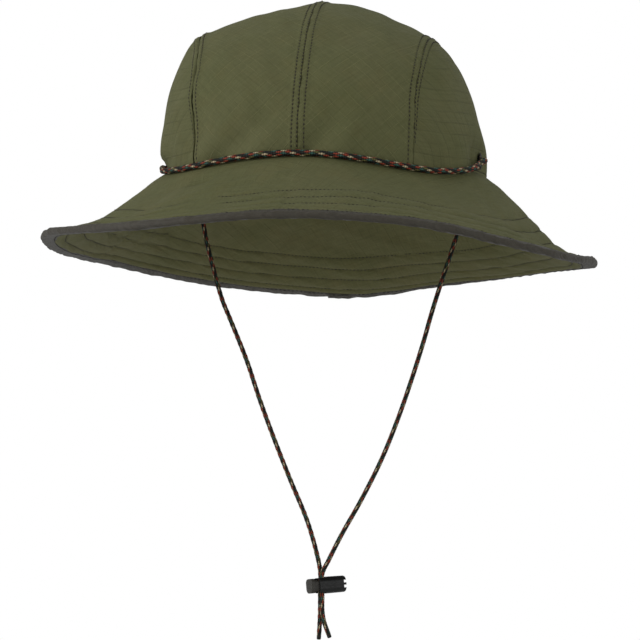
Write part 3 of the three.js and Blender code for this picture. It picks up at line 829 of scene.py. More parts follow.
def moulded_plastic(name, colour, roughness):
    """Injection-moulded plastic with a spark-eroded grain, faint flow marks and rubbed spots."""
    n = Nodes(name)
    place = n.position()
    grain = n.noise(place, 0.00022, 3.0)
    flow = n.noise(place, 0.006, 2.0, (1, 1, 3))
    scuffs = n.noise(place, 0.0012, 5.0, (1, 0.12, 1))
    tone = n.mottle(flow, 0.3, 0.7, colour, 0.85, 1.2)
    tone = n.mix(n.band(scuffs, 0.66, 0.74, 0.0, 0.4), tone, shaded(colour, 3.0))
    return n.finish(
        Base_Color=tone,
        Roughness=n.calc("ADD", n.band(scuffs, 0.35, 0.7, 0.0, 0.12), roughness),
        Specular_IOR_Level=0.35,
        Normal=n.bump(flow, 0.0001, 0.3, n.bump(grain, 0.00003, 0.6)),
    )


def painted_metal(name, paint, metal):
    """Lacquered brass, worn through in specks on its rim."""
    n = Nodes(name)
    place = n.position()
    chips = n.band(n.noise(place, 0.0009, 4.0), 0.66, 0.70)
    dull = n.noise(place, 0.003, 3.0)
    tone = n.mix(chips, n.mottle(dull, 0.3, 0.7, paint, 0.8, 1.3), metal)
    return n.finish(
        Base_Color=tone,
        Metallic=n.calc("MULTIPLY", chips, 0.9),
        Roughness=n.band(dull, 0.3, 0.7, 0.5, 0.65),
        Specular_IOR_Level=0.2,
        Normal=n.bump(chips, 0.00004, -0.5),
    )


def drawn_wire(name):
    n = Nodes(name)
    place = n.position()
    lines = n.noise(place, 0.0002, 3.0, (0.1, 1, 1))
    tone = n.mix(n.band(lines, 0.3, 0.7), linear(120, 121, 122), linear(176, 177, 178))
    return n.finish(Base_Color=tone, Metallic=1.0, Roughness=n.band(lines, 0.3, 0.7, 0.25, 0.42))


def felted(name, colour, fibre=0.0006):
    """Non-woven cloth: pressed fibres that lie every way."""
    n = Nodes(name)
    vector, _, _ = n.uv()
    one = n.noise(vector, fibre, 3.0, (0.15, 1, 1))
    two = n.noise(vector, fibre, 3.0, (1, 0.15, 1))
    fibres = n.calc("ADD", one, two)
    tone = n.mottle(fibres, 0.8, 1.2, colour, 0.7, 1.3)
    return n.finish(
        Base_Color=tone,
        Roughness=0.9,
        Specular_IOR_Level=0.2,
        Sheen_Weight=0.2,
        Normal=n.bump(fibres, 0.0002, 0.8),
    )


def twill(name, colour, pitch=0.0007):
    """Tape and band cloth: slanted ribs over a fine weave."""
    n = Nodes(name)
    vector, u, v = n.uv()
    slant = n.wave(n.calc("ADD", u, v), pitch)
    cross = n.wave(n.calc("SUBTRACT", u, v), pitch * 0.4)
    slubs = n.noise(vector, 0.0012, 3.0, (0.2, 1, 1))
    soil = n.noise(n.position(), 0.014, 3.0)
    height = n.calc("MULTIPLY_ADD", cross, 0.3, slant)
    tone = n.mottle(slubs, 0.3, 0.7, colour, 0.82, 1.2)
    # Painted shade: darker in the troughs between the ribs.
    tone = n.mix(n.band(height, -1.0, 0.3, 0.5, 0.0), tone, shaded(colour, 0.55))
    tone = n.mix(n.band(soil, 0.55, 0.8, 0.0, 0.5), tone, shaded(colour, 1.35))
    return n.finish(
        Base_Color=tone,
        Roughness=0.86,
        Specular_IOR_Level=0.25,
        Sheen_Weight=0.15,
        Normal=n.bump(height, 0.0001, 0.8),
    )


# ---- camera ----

CAMERA_DISTANCE = 2.0
CAMERA_AZIMUTH = 8.76
CAMERA_ELEVATION = -6.27
CAMERA_TARGET = Vector((-0.00238, -0.00024, -0.0716))
CAMERA_FIELD = 9.675


def add_camera():
    a, e = CAMERA_AZIMUTH * DEGREES, CAMERA_ELEVATION * DEGREES
    back = Vector((math.sin(a) * math.cos(e), -math.cos(a) * math.cos(e), math.sin(e)))
    camera = bpy.data.objects.new("camera", bpy.data.cameras.new("camera"))
    bpy.context.scene.collection.objects.link(camera)
    camera.location = CAMERA_TARGET + back * CAMERA_DISTANCE
    camera.rotation_euler = (-back).to_track_quat("-Z", "Y").to_euler()
    camera.data.sensor_width = 36
    camera.data.lens = 18 / math.tan(CAMERA_FIELD / 2 * DEGREES)
    bpy.context.scene.camera = camera


add_camera()


# ---- cords ----

def smooth_route(points, step):
    """A centripetal Catmull-Rom curve through the points, as points step apart."""
    p = np.array(points, float)
    p = np.vstack([2 * p[0] - p[1], p, 2 * p[-1] - p[-2]])
    out = []
    for i in range(len(p) - 3):
        a, b, c, d = p[i:i + 4]
        knots = np.cumsum([0, *(np.linalg.norm(np.diff([a, b, c, d], axis=0), axis=1) ** 0.5)])
        t = np.linspace(knots[1], knots[2], 25)[:-1, None]
        t0, t1, t2, t3 = knots
        ab = ((t1 - t) * a + (t - t0) * b) / (t1 - t0)
        bc = ((t2 - t) * b + (t - t1) * c) / (t2 - t1)
        cd = ((t3 - t) * c + (t - t2) * d) / (t3 - t2)
        abc = ((t2 - t) * ab + (t - t0) * bc) / (t2 - t0)
        bcd = ((t3 - t) * bc + (t - t1) * cd) / (t3 - t1)
        out.append(((t2 - t) * abc + (t - t1) * bcd) / (t2 - t1))
    line = np.vstack([*out, p[-2:-1]])
    along = lengths(line, 0)
    at = np.linspace(0, along[-1], round(along[-1] / step) + 1)
    return read_line(at, along, line)


def frames_along(line):
    """Two unit vectors across each point of a line, turning as little as they can."""
    tangent = unit(np.gradient(line, axis=0))
    side = unit(np.cross(tangent[0], [0.3, 0.1, 1.0]))
    sides = []
    for t in tangent:
        side = unit(side - t * (side @ t))
        sides.append(side)
    sides = np.array(sides)
    return sides, np.cross(tangent, sides)


def rings_around(line, angle, radius):
    """A ring of points round each point of a line."""
    one, two = frames_along(line)
    angle = angle[:, None]
    return line[:, None] + (np.cos(angle) * one[:, None] + np.sin(angle) * two[:, None]) * radius


def braided_cord(name, route, diameter, lead, around_steps=32, step=0.00027, fused=False):
    """A tube with the relief of the braid's strands. A fused far end is melted and dark."""
    line = drawn_in(smooth_route(route, step))
    along = lengths(line, 0)
    turn = np.linspace(0, 1, around_steps + 1)
    u, v = np.meshgrid(turn, along / lead)
    right, left = STRANDS * (u - v), STRANDS * (u + v)
    pillow = (np.sin(math.pi * (right % 1)) * np.sin(math.pi * (left % 1))) ** 0.5
    pillow = pillow * (0.86 + 0.14 * np.sin(2 * math.pi * STRANDS * TWISTS * v))
    melt = fused * smooth_step(0.0022, 0.0008, along[-1] - along)[:, None]
    radius = diameter / 2 - 0.095 * diameter * (1 - pillow) * (1 - melt) - 0.06 * diameter * melt
    points = rings_around(line, 2 * math.pi * turn, radius[..., None])[:, :-1]
    rows = len(line)
    index = np.arange(rows * around_steps).reshape(rows, around_steps)
    tangent = unit(np.gradient(line, axis=0))
    domes, dome_faces = [], []
    base = rows * around_steps
    for end, out in ((0, -1), (rows - 1, 1)):
        previous = index[end]
        for shrink, push in ((0.86, 0.10), (0.5, 0.17)):
            ring_points = line[end] + (points[end] - line[end]) * shrink
            domes.append(ring_points + out * tangent[end] * push * diameter)
            fresh = base + np.arange(around_steps)
            base += around_steps
            strip = quads(wrapped(np.stack([previous, fresh])))
            dome_faces.append(strip if out > 0 else strip[:, ::-1])
            previous = fresh
        dome_faces.append((previous if out > 0 else previous[::-1])[None])
    points = np.concatenate([points.reshape(-1, 3), *domes])
    faces = [quads(wrapped(index)), *dome_faces]
    uv = corner_values(np.stack([u, v], -1))
    end_uv = np.full((sum(f.size for f in dome_faces), 2), 0.06)
    faces, uv = facing_out(points, faces, [uv, end_uv])
    melted = [np.repeat(melt[:, 0], around_steps), np.repeat([0, fused], 2 * around_steps)]
    return make_piece(name, points, faces, uv, np.concatenate(melted), braid_material), line


def band_cord_route():
    """The front cord lies in the corner between crown and brim, and climbs to each eyelet."""
    clear = BAND_CORD_DIAMETER / 2 + 0.0005
    bearing = np.linspace(-78, 78, 27)
    climb = 0.005 * np.maximum(0, (np.abs(bearing) - 55) / 23) ** 2
    front = base_point(bearing) + base_normal(bearing) * clear
    front[:, 2] = around(BASE_LIFT, bearing) + 0.0009 + climb * np.where(bearing > 0, 0.62, 0.3)
    turn_in = np.array([
        (0.0029, -0.0056, -0.0008), (0.00285, -0.0026, -0.0001), (0.00225, -0.0008, 0),
        (0.0011, 0, 0), (0, 0, 0), (-0.0014, 0, 0),
    ]) + [HEAD_HALF_WIDTH, EYELET_Y, EYELET_Z]
    return np.vstack([turn_in[::-1] * [-1, 1, 1], front, turn_in])


RIGHT_CHIN_ROUTE = [
    (0.0844, -0.005, 0.0105), (0.0818, -0.005, 0.0105), (0.0788, -0.005, 0.0094),
    (0.0763, -0.005, 0.006), (0.0749, -0.005, 0), (0.07351, -0.005, -0.01216),
    (0.07165, -0.005, -0.02629), (0.0687, -0.0051, -0.036), (0.0655, -0.0051, -0.0455),
    (0.0599, -0.0052, -0.0624), (0.0567, -0.0052, -0.0729), (0.0537, -0.0053, -0.0835),
    (0.047, -0.0054, -0.1045), (0.0396, -0.0056, -0.1255), (0.031, -0.0059, -0.1465),
    (0.0204, -0.0062, -0.1674), (0.01, -0.0068, -0.1857), (0.0034, -0.0074, -0.1987),
    (-9e-05, -0.00758, -0.2062), (-9e-05, -0.00758, -0.2177), (-5e-05, -0.00756, -0.2252),
    (0.0008, -0.0074, -0.2307), (0.0037, -0.007, -0.239),
]
LEFT_CHIN_ROUTE = [
    (-0.0844, -0.005, 0.0105), (-0.0816, -0.005, 0.0105), (-0.0774, -0.005, 0.0092),
    (-0.0736, -0.005, 0.0054), (-0.0706, -0.005, -0.001), (-0.06752, -0.005, -0.00961),
    (-0.06484, -0.005, -0.01789), (-0.06289, -0.005, -0.02782), (-0.0598, -0.005, -0.0404),
    (-0.0541, -0.005, -0.0604), (-0.0497, -0.005, -0.0711), (-0.041, -0.005, -0.0926),
    (-0.0338, -0.005, -0.1139), (-0.0259, -0.005, -0.1352), (-0.0174, -0.00505, -0.1565),
    (-0.0086, -0.0051, -0.1776), (-0.0038, -0.00512, -0.1934), (-0.00151, -0.00512, -0.2047),
    (-0.00151, -0.00512, -0.2177), (-0.00155, -0.00514, -0.2257), (-0.0018, -0.0053, -0.2327),
    (-0.0022, -0.0056, -0.2398),
]
CHIN_LEAD = 0.0222
BAND_LEAD = 0.0290

braid_material = braid("braided cord")
band_cord, band_line = braided_cord(
    "front_band_braid", band_cord_route(), BAND_CORD_DIAMETER, BAND_LEAD, 40, 0.0003,
)
right_chin, right_line = braided_cord(
    "right_chin_braid", RIGHT_CHIN_ROUTE, CHIN_CORD_DIAMETER, CHIN_LEAD, fused=True,
)
left_chin, left_line = braided_cord(
    "left_chin_braid", LEFT_CHIN_ROUTE, CHIN_CORD_DIAMETER, CHIN_LEAD, fused=True,
)
belongs(band_cord, "hat", "braided_cord", "front_band_cord")
belongs(right_chin, "chin_cord", "braided_cord", "right_chin_cord")
belongs(left_chin, "chin_cord", "braided_cord", "left_chin_cord")


# ---- crown ----

EDGE_STEPS = np.array([
    0, 0.25, 0.5, 0.8, 1.15, 1.5, 1.9, 2.3, 2.7, 3.1, 3.5, 4, 4.6, 5.3, 6.2, 7.2,
]) * MM
BASE_STEPS = np.array([0, 0.4, 0.8, 1.3, 1.9, 2.5, 3.1, 3.8, 4.8]) * MM
BASE_ROW = 0.0026              # from the crown's base to the stitch row above it
LEFT_GAPE = 0.0007             # the left side seam stands a little open


def base_relief(d, s, seed):
    """The crown's lower edge is drawn in by its seam, with small gathers above it."""
    gather = 0.00032 * flat_field(s, d, 0.010, 5, seed) * np.exp(-d / 0.012)
    return gather - 0.0009 * valley(d, 0.0008) - 0.0003 * valley(d - BASE_ROW, 0.0006)


def wandering(points):
    """Lets the side seams wander a little, most of all at the left front."""
    x, y, z = np.moveaxis(points, -1, 0)
    near = valley(np.abs(x) - 0.0595, 0.014) * (y < 0) * smooth_step(0, 0.02, -y)
    amount = np.where(x < 0, 0.0009, 0.0004)
    shift = amount * np.sin(2 * math.pi * (z - 0.006) / 0.042) * smooth_step(0, 0.02, z)
    shift = shift + np.where(x < 0, 0.0016, 0) * valley(z, 0.011)
    return points + np.stack([shift * near, 0 * y, 0 * z], -1)


TUCK = 0.0011                   # how far the wall's raw edge goes down into the brim's seam


def crown_panel(name, surface, rows, ends, near_base, gape, material, seed):
    """A panel: near is the distance from its upper or centre seam, far from its other edge."""
    points, near, far = sample_strip(surface, rows, *ends)
    points = drawn_in(wandering(points))
    s = lengths(points, 0)
    to_base = far if near_base else np.minimum(s, s[-1:] - s)
    points[..., 2] -= TUCK * (1 - smooth_step(0, 0.006, to_base))
    normal = grid_normals(points, False)
    height = fold_relief(points) + seam_relief(near, s, seed)
    # dark is painted shade: darker in the seam and in the pressed stitch row beside it.
    dark = 0.05 * valley(near, 0.0006) + 0.25 * valley(near - SEAM_ROW, 0.0006)
    if near_base:
        height = height + base_relief(far, s, seed + 1)
        # Painted shade where the wall goes down into the brim's seam.
        dark = dark + 0.8 * valley(far, 0.001)
        wobble = 0.5 + 0.5 * flat_field(s, 0 * s, 0.02, 1, seed + 5)
        height = height - gape * valley(near, 0.0011) * wobble * 1.6
        # Painted shade in the open left side seam.
        dark = dark + 900 * gape * valley(near, 0.0007) * wobble
        uv = np.stack([s, far], -1)
    else:
        base = np.minimum(s, s[-1:] - s)
        height = height + seam_relief(far, s, seed + 2) + base_relief(base, near, seed + 3)
        height = height - gape * valley(far, 0.0011)
        # Painted shade in the far seam, which stands open on the left, in its row and at the base.
        dark = dark + (0.05 + 600 * gape) * valley(far, 0.0006)
        dark = dark + 0.25 * valley(far - SEAM_ROW, 0.0006)
        dark = dark + 0.8 * valley(base, 0.001)
        uv = np.stack([near, s], -1)
    outer = points + normal * height[..., None]
    inner = outer - normal * CLOTH
    piece = cloth_piece(name, outer, inner, uv, False, material, np.clip(dark, 0, 1))
    rides = dict(outer=outer, normal=normal, near=near, far=far)
    return piece, rides


bias_cloth = ripstop("shell cloth on the bias", OLIVE, 45)
bias_cloth_mirrored = ripstop("shell cloth on the other bias", OLIVE, 43)
grain_cloth = ripstop("shell cloth on the grain", OLIVE, 2, grid=0.0062, line=0.8)
brim_cloth = ripstop("brim cloth", OLIVE, 24, line=1.12)
under_cloth = ripstop("brim underside cloth", UNDERSIDE, 20, line=1.08)
crown_thread = sewing_thread("crown thread", THREAD)
panels, panel_pieces = {}, {}

SEAM_CLEAR = 0.00006           # how near the top panels come to the centre and side seams
for name, side in SIDES:
    gape = LEFT_GAPE if side < 0 else 0.0
    turns = even_rows(lambda t: crown_point(side * 0.5 * SIDE_SEAM_X, t), -89.6, 89.6, PANEL_STEP)
    top = lambda turn, x: crown_point(side * x, turn)
    panel_pieces[name + "_top"], panels[name + "_top"] = crown_panel(
        f"{name}_top_cloth", top, turns,
        (SEAM_CLEAR, SIDE_SEAM_X - SEAM_CLEAR, EDGE_STEPS, EDGE_STEPS, 26),
        False, gape, bias_cloth if side < 0 else bias_cloth_mirrored, 20 + side,
    )
    reach = crown_half_length(SIDE_SEAM_X) * 0.998
    alongs = even_rows(lambda y: side_point(side, y, np.ones_like(y)), -reach, reach, PANEL_STEP)
    wall = lambda y, rise: side_point(side, y, rise)
    panel_pieces[name + "_side"], panels[name + "_side"] = crown_panel(
        f"{name}_side_cloth", wall, alongs, (0.9985, 0.002, EDGE_STEPS, BASE_STEPS, 34),
        True, gape, grain_cloth, 40 + side,
    )


def seam_rows(panel, edge, distance, least=0.016):
    """The stitch row beside a panel's edge, where the panel is wider than least."""
    p = panels[panel]
    wide = p["near"][:, -1] > least
    return row_at(p["outer"][wide], p["normal"][wide], p[edge][wide], distance)


IN_THE_SEAM = 0.0003           # from a crown seam to the row of stitches that shows in it
SEAM_STITCH_ROWS = {
    "centre": [
        ("left_top", "near", SEAM_ROW), ("right_top", "near", SEAM_ROW),
        ("left_top", "near", IN_THE_SEAM),
    ],
    "left": [("left_top", "far", SEAM_ROW), ("left_side", "near", SEAM_ROW)],
    "right": [
        ("right_top", "far", SEAM_ROW), ("right_side", "near", SEAM_ROW),
        ("right_side", "near", IN_THE_SEAM),
    ],
}
seam_stitching = {
    name: stitching(f"{name}_seam_stitching", [seam_rows(*row) for row in rows], crown_thread)
    for name, rows in SEAM_STITCH_ROWS.items()
}


def base_stitch_rows():
    """The row that runs round the crown just above the brim."""
    out = []
    for name, _ in SIDES:
        out.append(seam_rows(name + "_side", "far", BASE_ROW, 0.010))
        p = panels[name + "_top"]
        for rows in (slice(0, 12), slice(-12, None)):
            outer, normal = (np.swapaxes(p[key][rows], 0, 1) for key in ("outer", "normal"))
            distance = lengths(outer, 1)
            if rows.start:
                distance = distance[:, -1:] - distance
            out.append(row_at(outer, normal, distance, BASE_ROW))
    return out


base_stitching = stitching("crown_base_stitching", base_stitch_rows(), crown_thread)


def apply_modifiers(piece):
    """Bakes a piece's modifiers into its mesh."""
    graph = bpy.context.evaluated_depsgraph_get()
    mesh = bpy.data.meshes.new_from_object(piece.evaluated_get(graph))
    piece.modifiers.clear()
    piece.data = mesh


def carve(piece, *tools):
    """Cuts the tools' shapes out of a piece and removes the tools."""
    for tool in tools:
        made = piece.modifiers.new("cut", "BOOLEAN")
        made.operation = "DIFFERENCE"
        made.solver = "EXACT"
        made.object = tool
    bpy.context.view_layer.update()
    apply_modifiers(piece)
    for tool in tools:
        bpy.data.objects.remove(tool)


def around_eyelet(x, radius, angle):
    """Points round the eyelets' line, which runs along X."""
    y, z = EYELET_Y + radius * np.cos(angle), EYELET_Z + radius * np.sin(angle)
    return np.stack(np.broadcast_arrays(x, y, z), -1)


def lathe(name, profile, side, face_x, material, segments=48):
    """A ring of the given profile, [radius, distance outwards], turned to face along X."""
    radius, out = profile.T
    face_x = abs(drawn_in(np.array([side * face_x, EYELET_Y, EYELET_Z]))[0])
    points = around_eyelet(side * (face_x + out), radius, circle(segments)[:, None])
    index = np.arange(points.size // 3).reshape(segments, -1)
    faces = [quads(wrapped(np.vstack([index, index[:1]])))]
    return closed_piece(name, points.reshape(-1, 3), faces, material)


def bar_along_x(radius, low, high):
    """A round cutting tool through an eyelet's centre."""
    points = around_eyelet(np.array([low, high])[:, None], radius, circle(40)).reshape(-1, 3)
    index = np.arange(len(points)).reshape(2, -1)
    return closed_piece("cut", points, [quads(wrapped(index)), index[:1, ::-1], index[1:]])


for name, side in SIDES:
    tool = bar_along_x(EYELET_HOLE_RADIUS, *sorted((side * 0.07, side * 0.10)))
    carve(panel_pieces[name + "_side"], tool)

TOP_CUT = (0.076, 0.300)
SIDE_CUT = (0.110, 0.185)
TOP_CUT_AREA = 0.0168
SIDE_CUT_AREA = 0.0128
for name, _ in SIDES:
    for kind, flat, area in (("top", TOP_CUT, TOP_CUT_AREA), ("side", SIDE_CUT, SIDE_CUT_AREA)):
        piece = panel_pieces[f"{name}_{kind}"]
        belongs(piece, "hat", "shell_fabric", f"{name}_{kind}_panel")
for piece in [*seam_stitching.values(), base_stitching]:
    belongs(piece, "hat", "shell_fabric")


# ---- tapes and sweatband inside the crown ----

TAPE_DEPTH = 0.0020
TAPE_THICKNESS = 0.0005
TAPE_STEP = 0.0016
tape_cloth = twill("seam tape", LINING)
lining_thread = sewing_thread("lining thread", shaded(LINING, 0.8))


def tape_piece(name, points):
    normal = grid_normals(points, False)
    s, d = lengths(points, 0), lengths(points, 1)
    edge = np.minimum(d, d[:, -1:] - d)
    height = 0.00012 * flat_field(s, d, 0.012, 2, 71) - 0.00012 * valley(edge - 0.0016, 0.0006)
    outer = points - normal * (TAPE_DEPTH - height)[..., None]
    inner = outer - normal * TAPE_THICKNESS
    piece = cloth_piece(name, outer, inner, np.stack([s, d], -1), False, tape_cloth)
    rows = [(inner[:, k], -normal[:, k], {"loft": 0.00012}) for k in (2, -3)]
    return piece, stitching(name + "_stitching", rows, lining_thread)


def centre_tape_points():
    turns = even_rows(lambda t: crown_point(0 * t, t), -76, 76, TAPE_STEP)
    x = np.array([-6, -5.4, -4.4, -3, -1.5, 0, 1.5, 3, 4.4, 5.4, 6]) * MM
    return crown_point(x[None, :], turns[:, None])


def side_tape_points(side):
    turns = even_rows(lambda t: crown_point(side * SIDE_SEAM_X + 0 * t, t), -72, 72, TAPE_STEP)
    offset = np.array([6, 5.4, 4.4, 3, 1.5]) * MM
    over = crown_point(side * (SIDE_SEAM_X - offset[None, :]), turns[:, None])
    seam = crown_point(side * SIDE_SEAM_X + 0 * turns, turns)
    rise = 1 - offset[::-1][None, :] / np.maximum(seam[:, 2:3], 0.012)
    under = side_point(side, seam[:, 1:2], rise)
    return np.hstack([over, seam[:, None], under])


tapes = {
    "centre": tape_piece("centre_tape", centre_tape_points()),
    "left": tape_piece("left_tape", side_tape_points(-1)),
    "right": tape_piece("right_tape", side_tape_points(1)),
}
for name, (tape, stitches) in tapes.items():
    belongs(tape, "hat", "seam_tape", f"{name}_seam_tape")
    belongs(stitches, "hat", "seam_tape")


SWEATBAND_THICKNESS = 0.0009
SWEATBAND_TUCK = np.array([0.0016, 0.0008])   # how far its lowest two rows go down
SWEATBAND_HOLE_RADIUS = 0.0024


def make_sweatband():
    bearing = np.linspace(0, 360, 541)[:-1]
    rise = np.array([
        0, 0.3, 0.8, 1.6, 2.5, 3.4, 5, 8, 12, 16, 20, 24, 26.5, 28, 29, 29.6, 30,
    ]) * MM
    wall = drawn_in(crown_at_height(bearing[:, None], SWEATBAND_FOOT + rise[None, :]))
    wall[:, :2, 2] -= SWEATBAND_TUCK
    inward = -base_normal(bearing)[:, None]
    s = lengths(np.vstack([wall, wall[:1]]), 0)
    d = np.broadcast_to(rise[None, :], s.shape)
    edge = np.minimum(d, SWEATBAND_HEIGHT - d)
    relief = 0.00025 * flat_field(s, d, 0.014, 3, 81) - 0.0002 * valley(edge - 0.0025, 0.0007)
    relief = relief - 0.00035 * smooth_step(0.0008, 0, edge)
    relief = (relief * smooth_step(0, 0.02, s) * smooth_step(0, 0.02, s[-1:] - s))[:-1]
    outer = wall + inward * (SWEATBAND_SETBACK - relief)[..., None]
    inner = wall + inward * (SWEATBAND_SETBACK + SWEATBAND_THICKNESS + relief)[..., None]
    cloth = twill("sweatband cloth", LINING, 0.0011)
    band = cloth_piece("sweatband_cloth", outer, inner, np.stack([s, d], -1), True, cloth)
    closed = np.vstack([inner, inner[:1]])
    normals = np.vstack([inward, inward[:1]])[:, 0]
    rows = [(closed[:, 4], normals, {}), (closed[:, -5], normals, {})]
    reaches = [sorted((side * 0.07, side * 0.095)) for _, side in SIDES]
    carve(band, *(bar_along_x(SWEATBAND_HOLE_RADIUS, *reach) for reach in reaches))
    return band, stitching("sweatband_stitching", rows, lining_thread)


sweatband, sweatband_stitches = make_sweatband()
belongs(sweatband, "hat", "sweatband_fabric", "sweatband")
belongs(sweatband_stitches, "hat", "sweatband_fabric")


# ---- brim ----

BRIM_START = -0.014            # the brim's cloths go this share of its reach in under the crown


def brim_normal(bearing, share):
    outward = brim_point(bearing, share + 0.01) - brim_point(bearing, share - 0.01)
    round_it = brim_point(bearing + 0.5, share) - brim_point(bearing - 0.5, share)
    return unit(np.cross(outward, round_it))


def upwards(normal):
    return normal * np.sign(normal[..., 2:3])


def brim_columns():
    """Distances from the brim's edge: close together at each stitch row."""
    out = [0, 0.0015, 0.003, 0.0042, 0.0052, 0.0062, 0.0074, 0.0086]
    for row in BRIM_ROWS:
        out += [row + offset * MM for offset in (-1.1, -0.5, 0, 0.5, 1.1, 2.3, 3.7, 5.1, 6.5, 7.7)]
    return np.array(out[:-1])


def quilt_relief(d, s, seed, swell=1.0):
    """Height of a brim cloth over its rows, d from the brim's edge: channels that swell
    between the stitch rows, with small gathers that the stitches pull in."""
    borders = [0.0050, *BRIM_ROWS]
    height = np.zeros_like(d)
    near = np.full_like(d, 1.0)
    for k, (low, high) in enumerate(zip(borders, borders[1:])):
        t = np.clip((d - low) / (high - low), 0, 1)
        uneven = 1 + 0.22 * flat_field(s, d, 0.028, 1.5, seed + k)
        height += swell * 0.00095 * np.sin(math.pi * t) ** 0.8 * uneven
    for row in BRIM_ROWS:
        near = np.minimum(near, np.abs(d - row))
        height -= 0.00035 * valley(d - row, 0.0006)
    past = np.maximum(0, d - BRIM_ROWS[-1])
    height += swell * 0.0004 * (1 - np.exp(-past / 0.0045)) * np.exp(-past / 0.020)
    gathers = 0.00030 * flat_field(s, d, 0.0072, 3.0, seed + 11) * np.exp(-near / 0.0030)
    broad = 0.00035 * flat_field(s, d, 0.030, 1.2, seed + 12) * smooth_step(0, 0.012, d)
    return height + gathers * smooth_step(0.0045, 0.008, d) + broad


# Creases in the brim: bearing and share where each starts and ends, half width and height.
BRIM_CREASES = [
    (-64, 0.10, -70, 0.52, 0.0050, 0.0009),
    (-36, 0.13, -25, 0.12, 0.0045, -0.0024),
    (-40, 0.06, -44, 0.45, 0.0060, -0.0008),
    (38, 0.05, 44, 0.48, 0.0060, 0.0009),
    (68, 0.08, 62, 0.50, 0.0050, -0.0009),
    (140, 0.06, 146, 0.5, 0.0060, 0.0009),
    (205, 0.08, 212, 0.5, 0.0060, -0.0008),
    (262, 0.30, 248, 0.86, 0.0032, 0.0012),
    (254, 0.22, 240, 0.72, 0.0030, -0.0012),
    (246, 0.20, 231, 0.62, 0.0034, 0.0012),
    (232, 0.12, 221, 0.44, 0.0040, -0.0011),
    (196, 0.10, 201, 0.42, 0.0050, 0.0009),
    (150, 0.10, 143, 0.46, 0.0050, -0.0009),
    (112, 0.16, 118, 0.55, 0.0045, 0.0010),
    (94, 0.30, 100, 0.90, 0.0130, -0.0013),
    (280, 0.38, 284, 0.86, 0.0150, -0.0018),
]


def crease_relief(points, creases):
    height = np.zeros(points.shape[:-1])
    for start, start_share, end, end_share, width, rise in creases:
        a = brim_point(np.array([float(start)]), np.array([start_share]))[0]
        b = brim_point(np.array([float(end)]), np.array([end_share]))[0]
        d = b - a
        t = np.clip(((points - a) @ d) / (d @ d), 0, 1)
        away = np.linalg.norm(points - a - t[..., None] * d, axis=-1)
        height += rise * valley(away, width) * np.sin(math.pi * np.clip(t, 0.02, 0.98)) ** 0.5
    return height


def brim_grid():
    bearing = BRIM_BEARINGS
    inner_steps = np.array([0, 0.4, 0.9, 1.6, 2.4]) * MM
    far = brim_columns()
    points, near, edge = sample_strip(brim_point, bearing, BRIM_START, 1.0, inner_steps, far, 16)
    normal = upwards(grid_normals(points, True))
    bent = crease_relief(points, BRIM_CREASES) + 0.0005 * random_field(points, 0.07, 33)
    bent = bent * smooth_step(0.002, 0.016, edge) * smooth_step(0.001, 0.014, near)
    points = drawn_in(points + normal * bent[..., None])
    closed = np.vstack([points, points[:1]])
    s = lengths(closed, 0)
    flat = base_point(bearing)[:, None] + base_normal(bearing)[:, None] * near[..., None]
    uv = np.vstack([flat, flat[:1]])[..., :2]
    return points, near, edge, s, uv, upwards(grid_normals(points, True))


brim = dict(zip(("points", "near", "edge", "s", "uv", "normal"), brim_grid()))


def brim_face(depth, seed, sign):
    """A brim cloth's outer face: sign is 1 on the top and -1 underneath."""
    d, s = brim["edge"], brim["s"][:-1]
    height = quilt_relief(d, s, seed) - 0.0004 * valley(brim["near"], 0.0012)
    if sign > 0:
        height = height * (1 - 0.8 * valley(BRIM_BEARINGS[:, None] - 292, 24))
    height = np.maximum(height, -0.0004) * smooth_step(-0.001, 0.0055, d) - 0.0001
    # dark is painted shade: darker along the pressed stitch rows and where the brim meets the
    # crown.
    dark = 0.25 * sum(valley(d - row, 0.0007) for row in BRIM_ROWS) + valley(brim["near"], 0.0012)
    outer = brim["points"] + brim["normal"] * (sign * height - depth)[..., None]
    return outer, np.clip(dark, 0, 1)


def inner_columns(grid):
    """Fewer columns for the face of a cloth that is turned away from view."""
    keep = np.linspace(0, grid.shape[1] - 1, 14).round().astype(int)
    return grid[:, keep]


def brim_cloth_piece(name, depth, seed, sign, material):
    outer, dark = brim_face(depth, seed, sign)
    inner = inner_columns(outer - brim["normal"] * sign * CLOTH)
    piece = cloth_piece(name, outer, inner, brim["uv"], True, material, dark)
    rows = []
    for row in BRIM_ROWS:
        line, normal, _ = row_at(outer, brim["normal"] * sign, brim["edge"], row)
        ends_met = [np.vstack([grid, grid[:1]]) for grid in (line, normal)]
        rows.append((*ends_met, {"pitch": 0.0021, "radius": 0.00027}))
    return piece, stitching(name.replace("cloth", "stitching"), rows, crown_thread)


brim_top, brim_top_stitches = brim_cloth_piece("brim_top_cloth", 0.0, 50, 1, brim_cloth)
brim_under, brim_under_stitches = brim_cloth_piece(
    "brim_underside_cloth", BRIM_DEPTH, 60, -1, under_cloth,
)


def make_interlining():
    columns, normal, uv = (inner_columns(brim[key]) for key in ("points", "normal", "uv"))
    outer, inner = (columns - normal * depth for depth in (0.00105, 0.00165))
    felt = felted("brim interlining felt", linear(120, 120, 114))
    return cloth_piece("brim_interlining_felt", outer, inner, uv, True, felt)


interlining = make_interlining()

BINDING_JOIN = 183.0           # bearing where the tape starts, and laps over itself
BINDING_LAP = 4.6              # degrees
BINDING_STITCH = 0.0052
BINDING_THICKNESS = 0.00045
BINDING_FLAT = np.array([-6.2, -5.7, -5.2, -4.7, -4.2, -3.2, -2.2, -1.1]) * MM


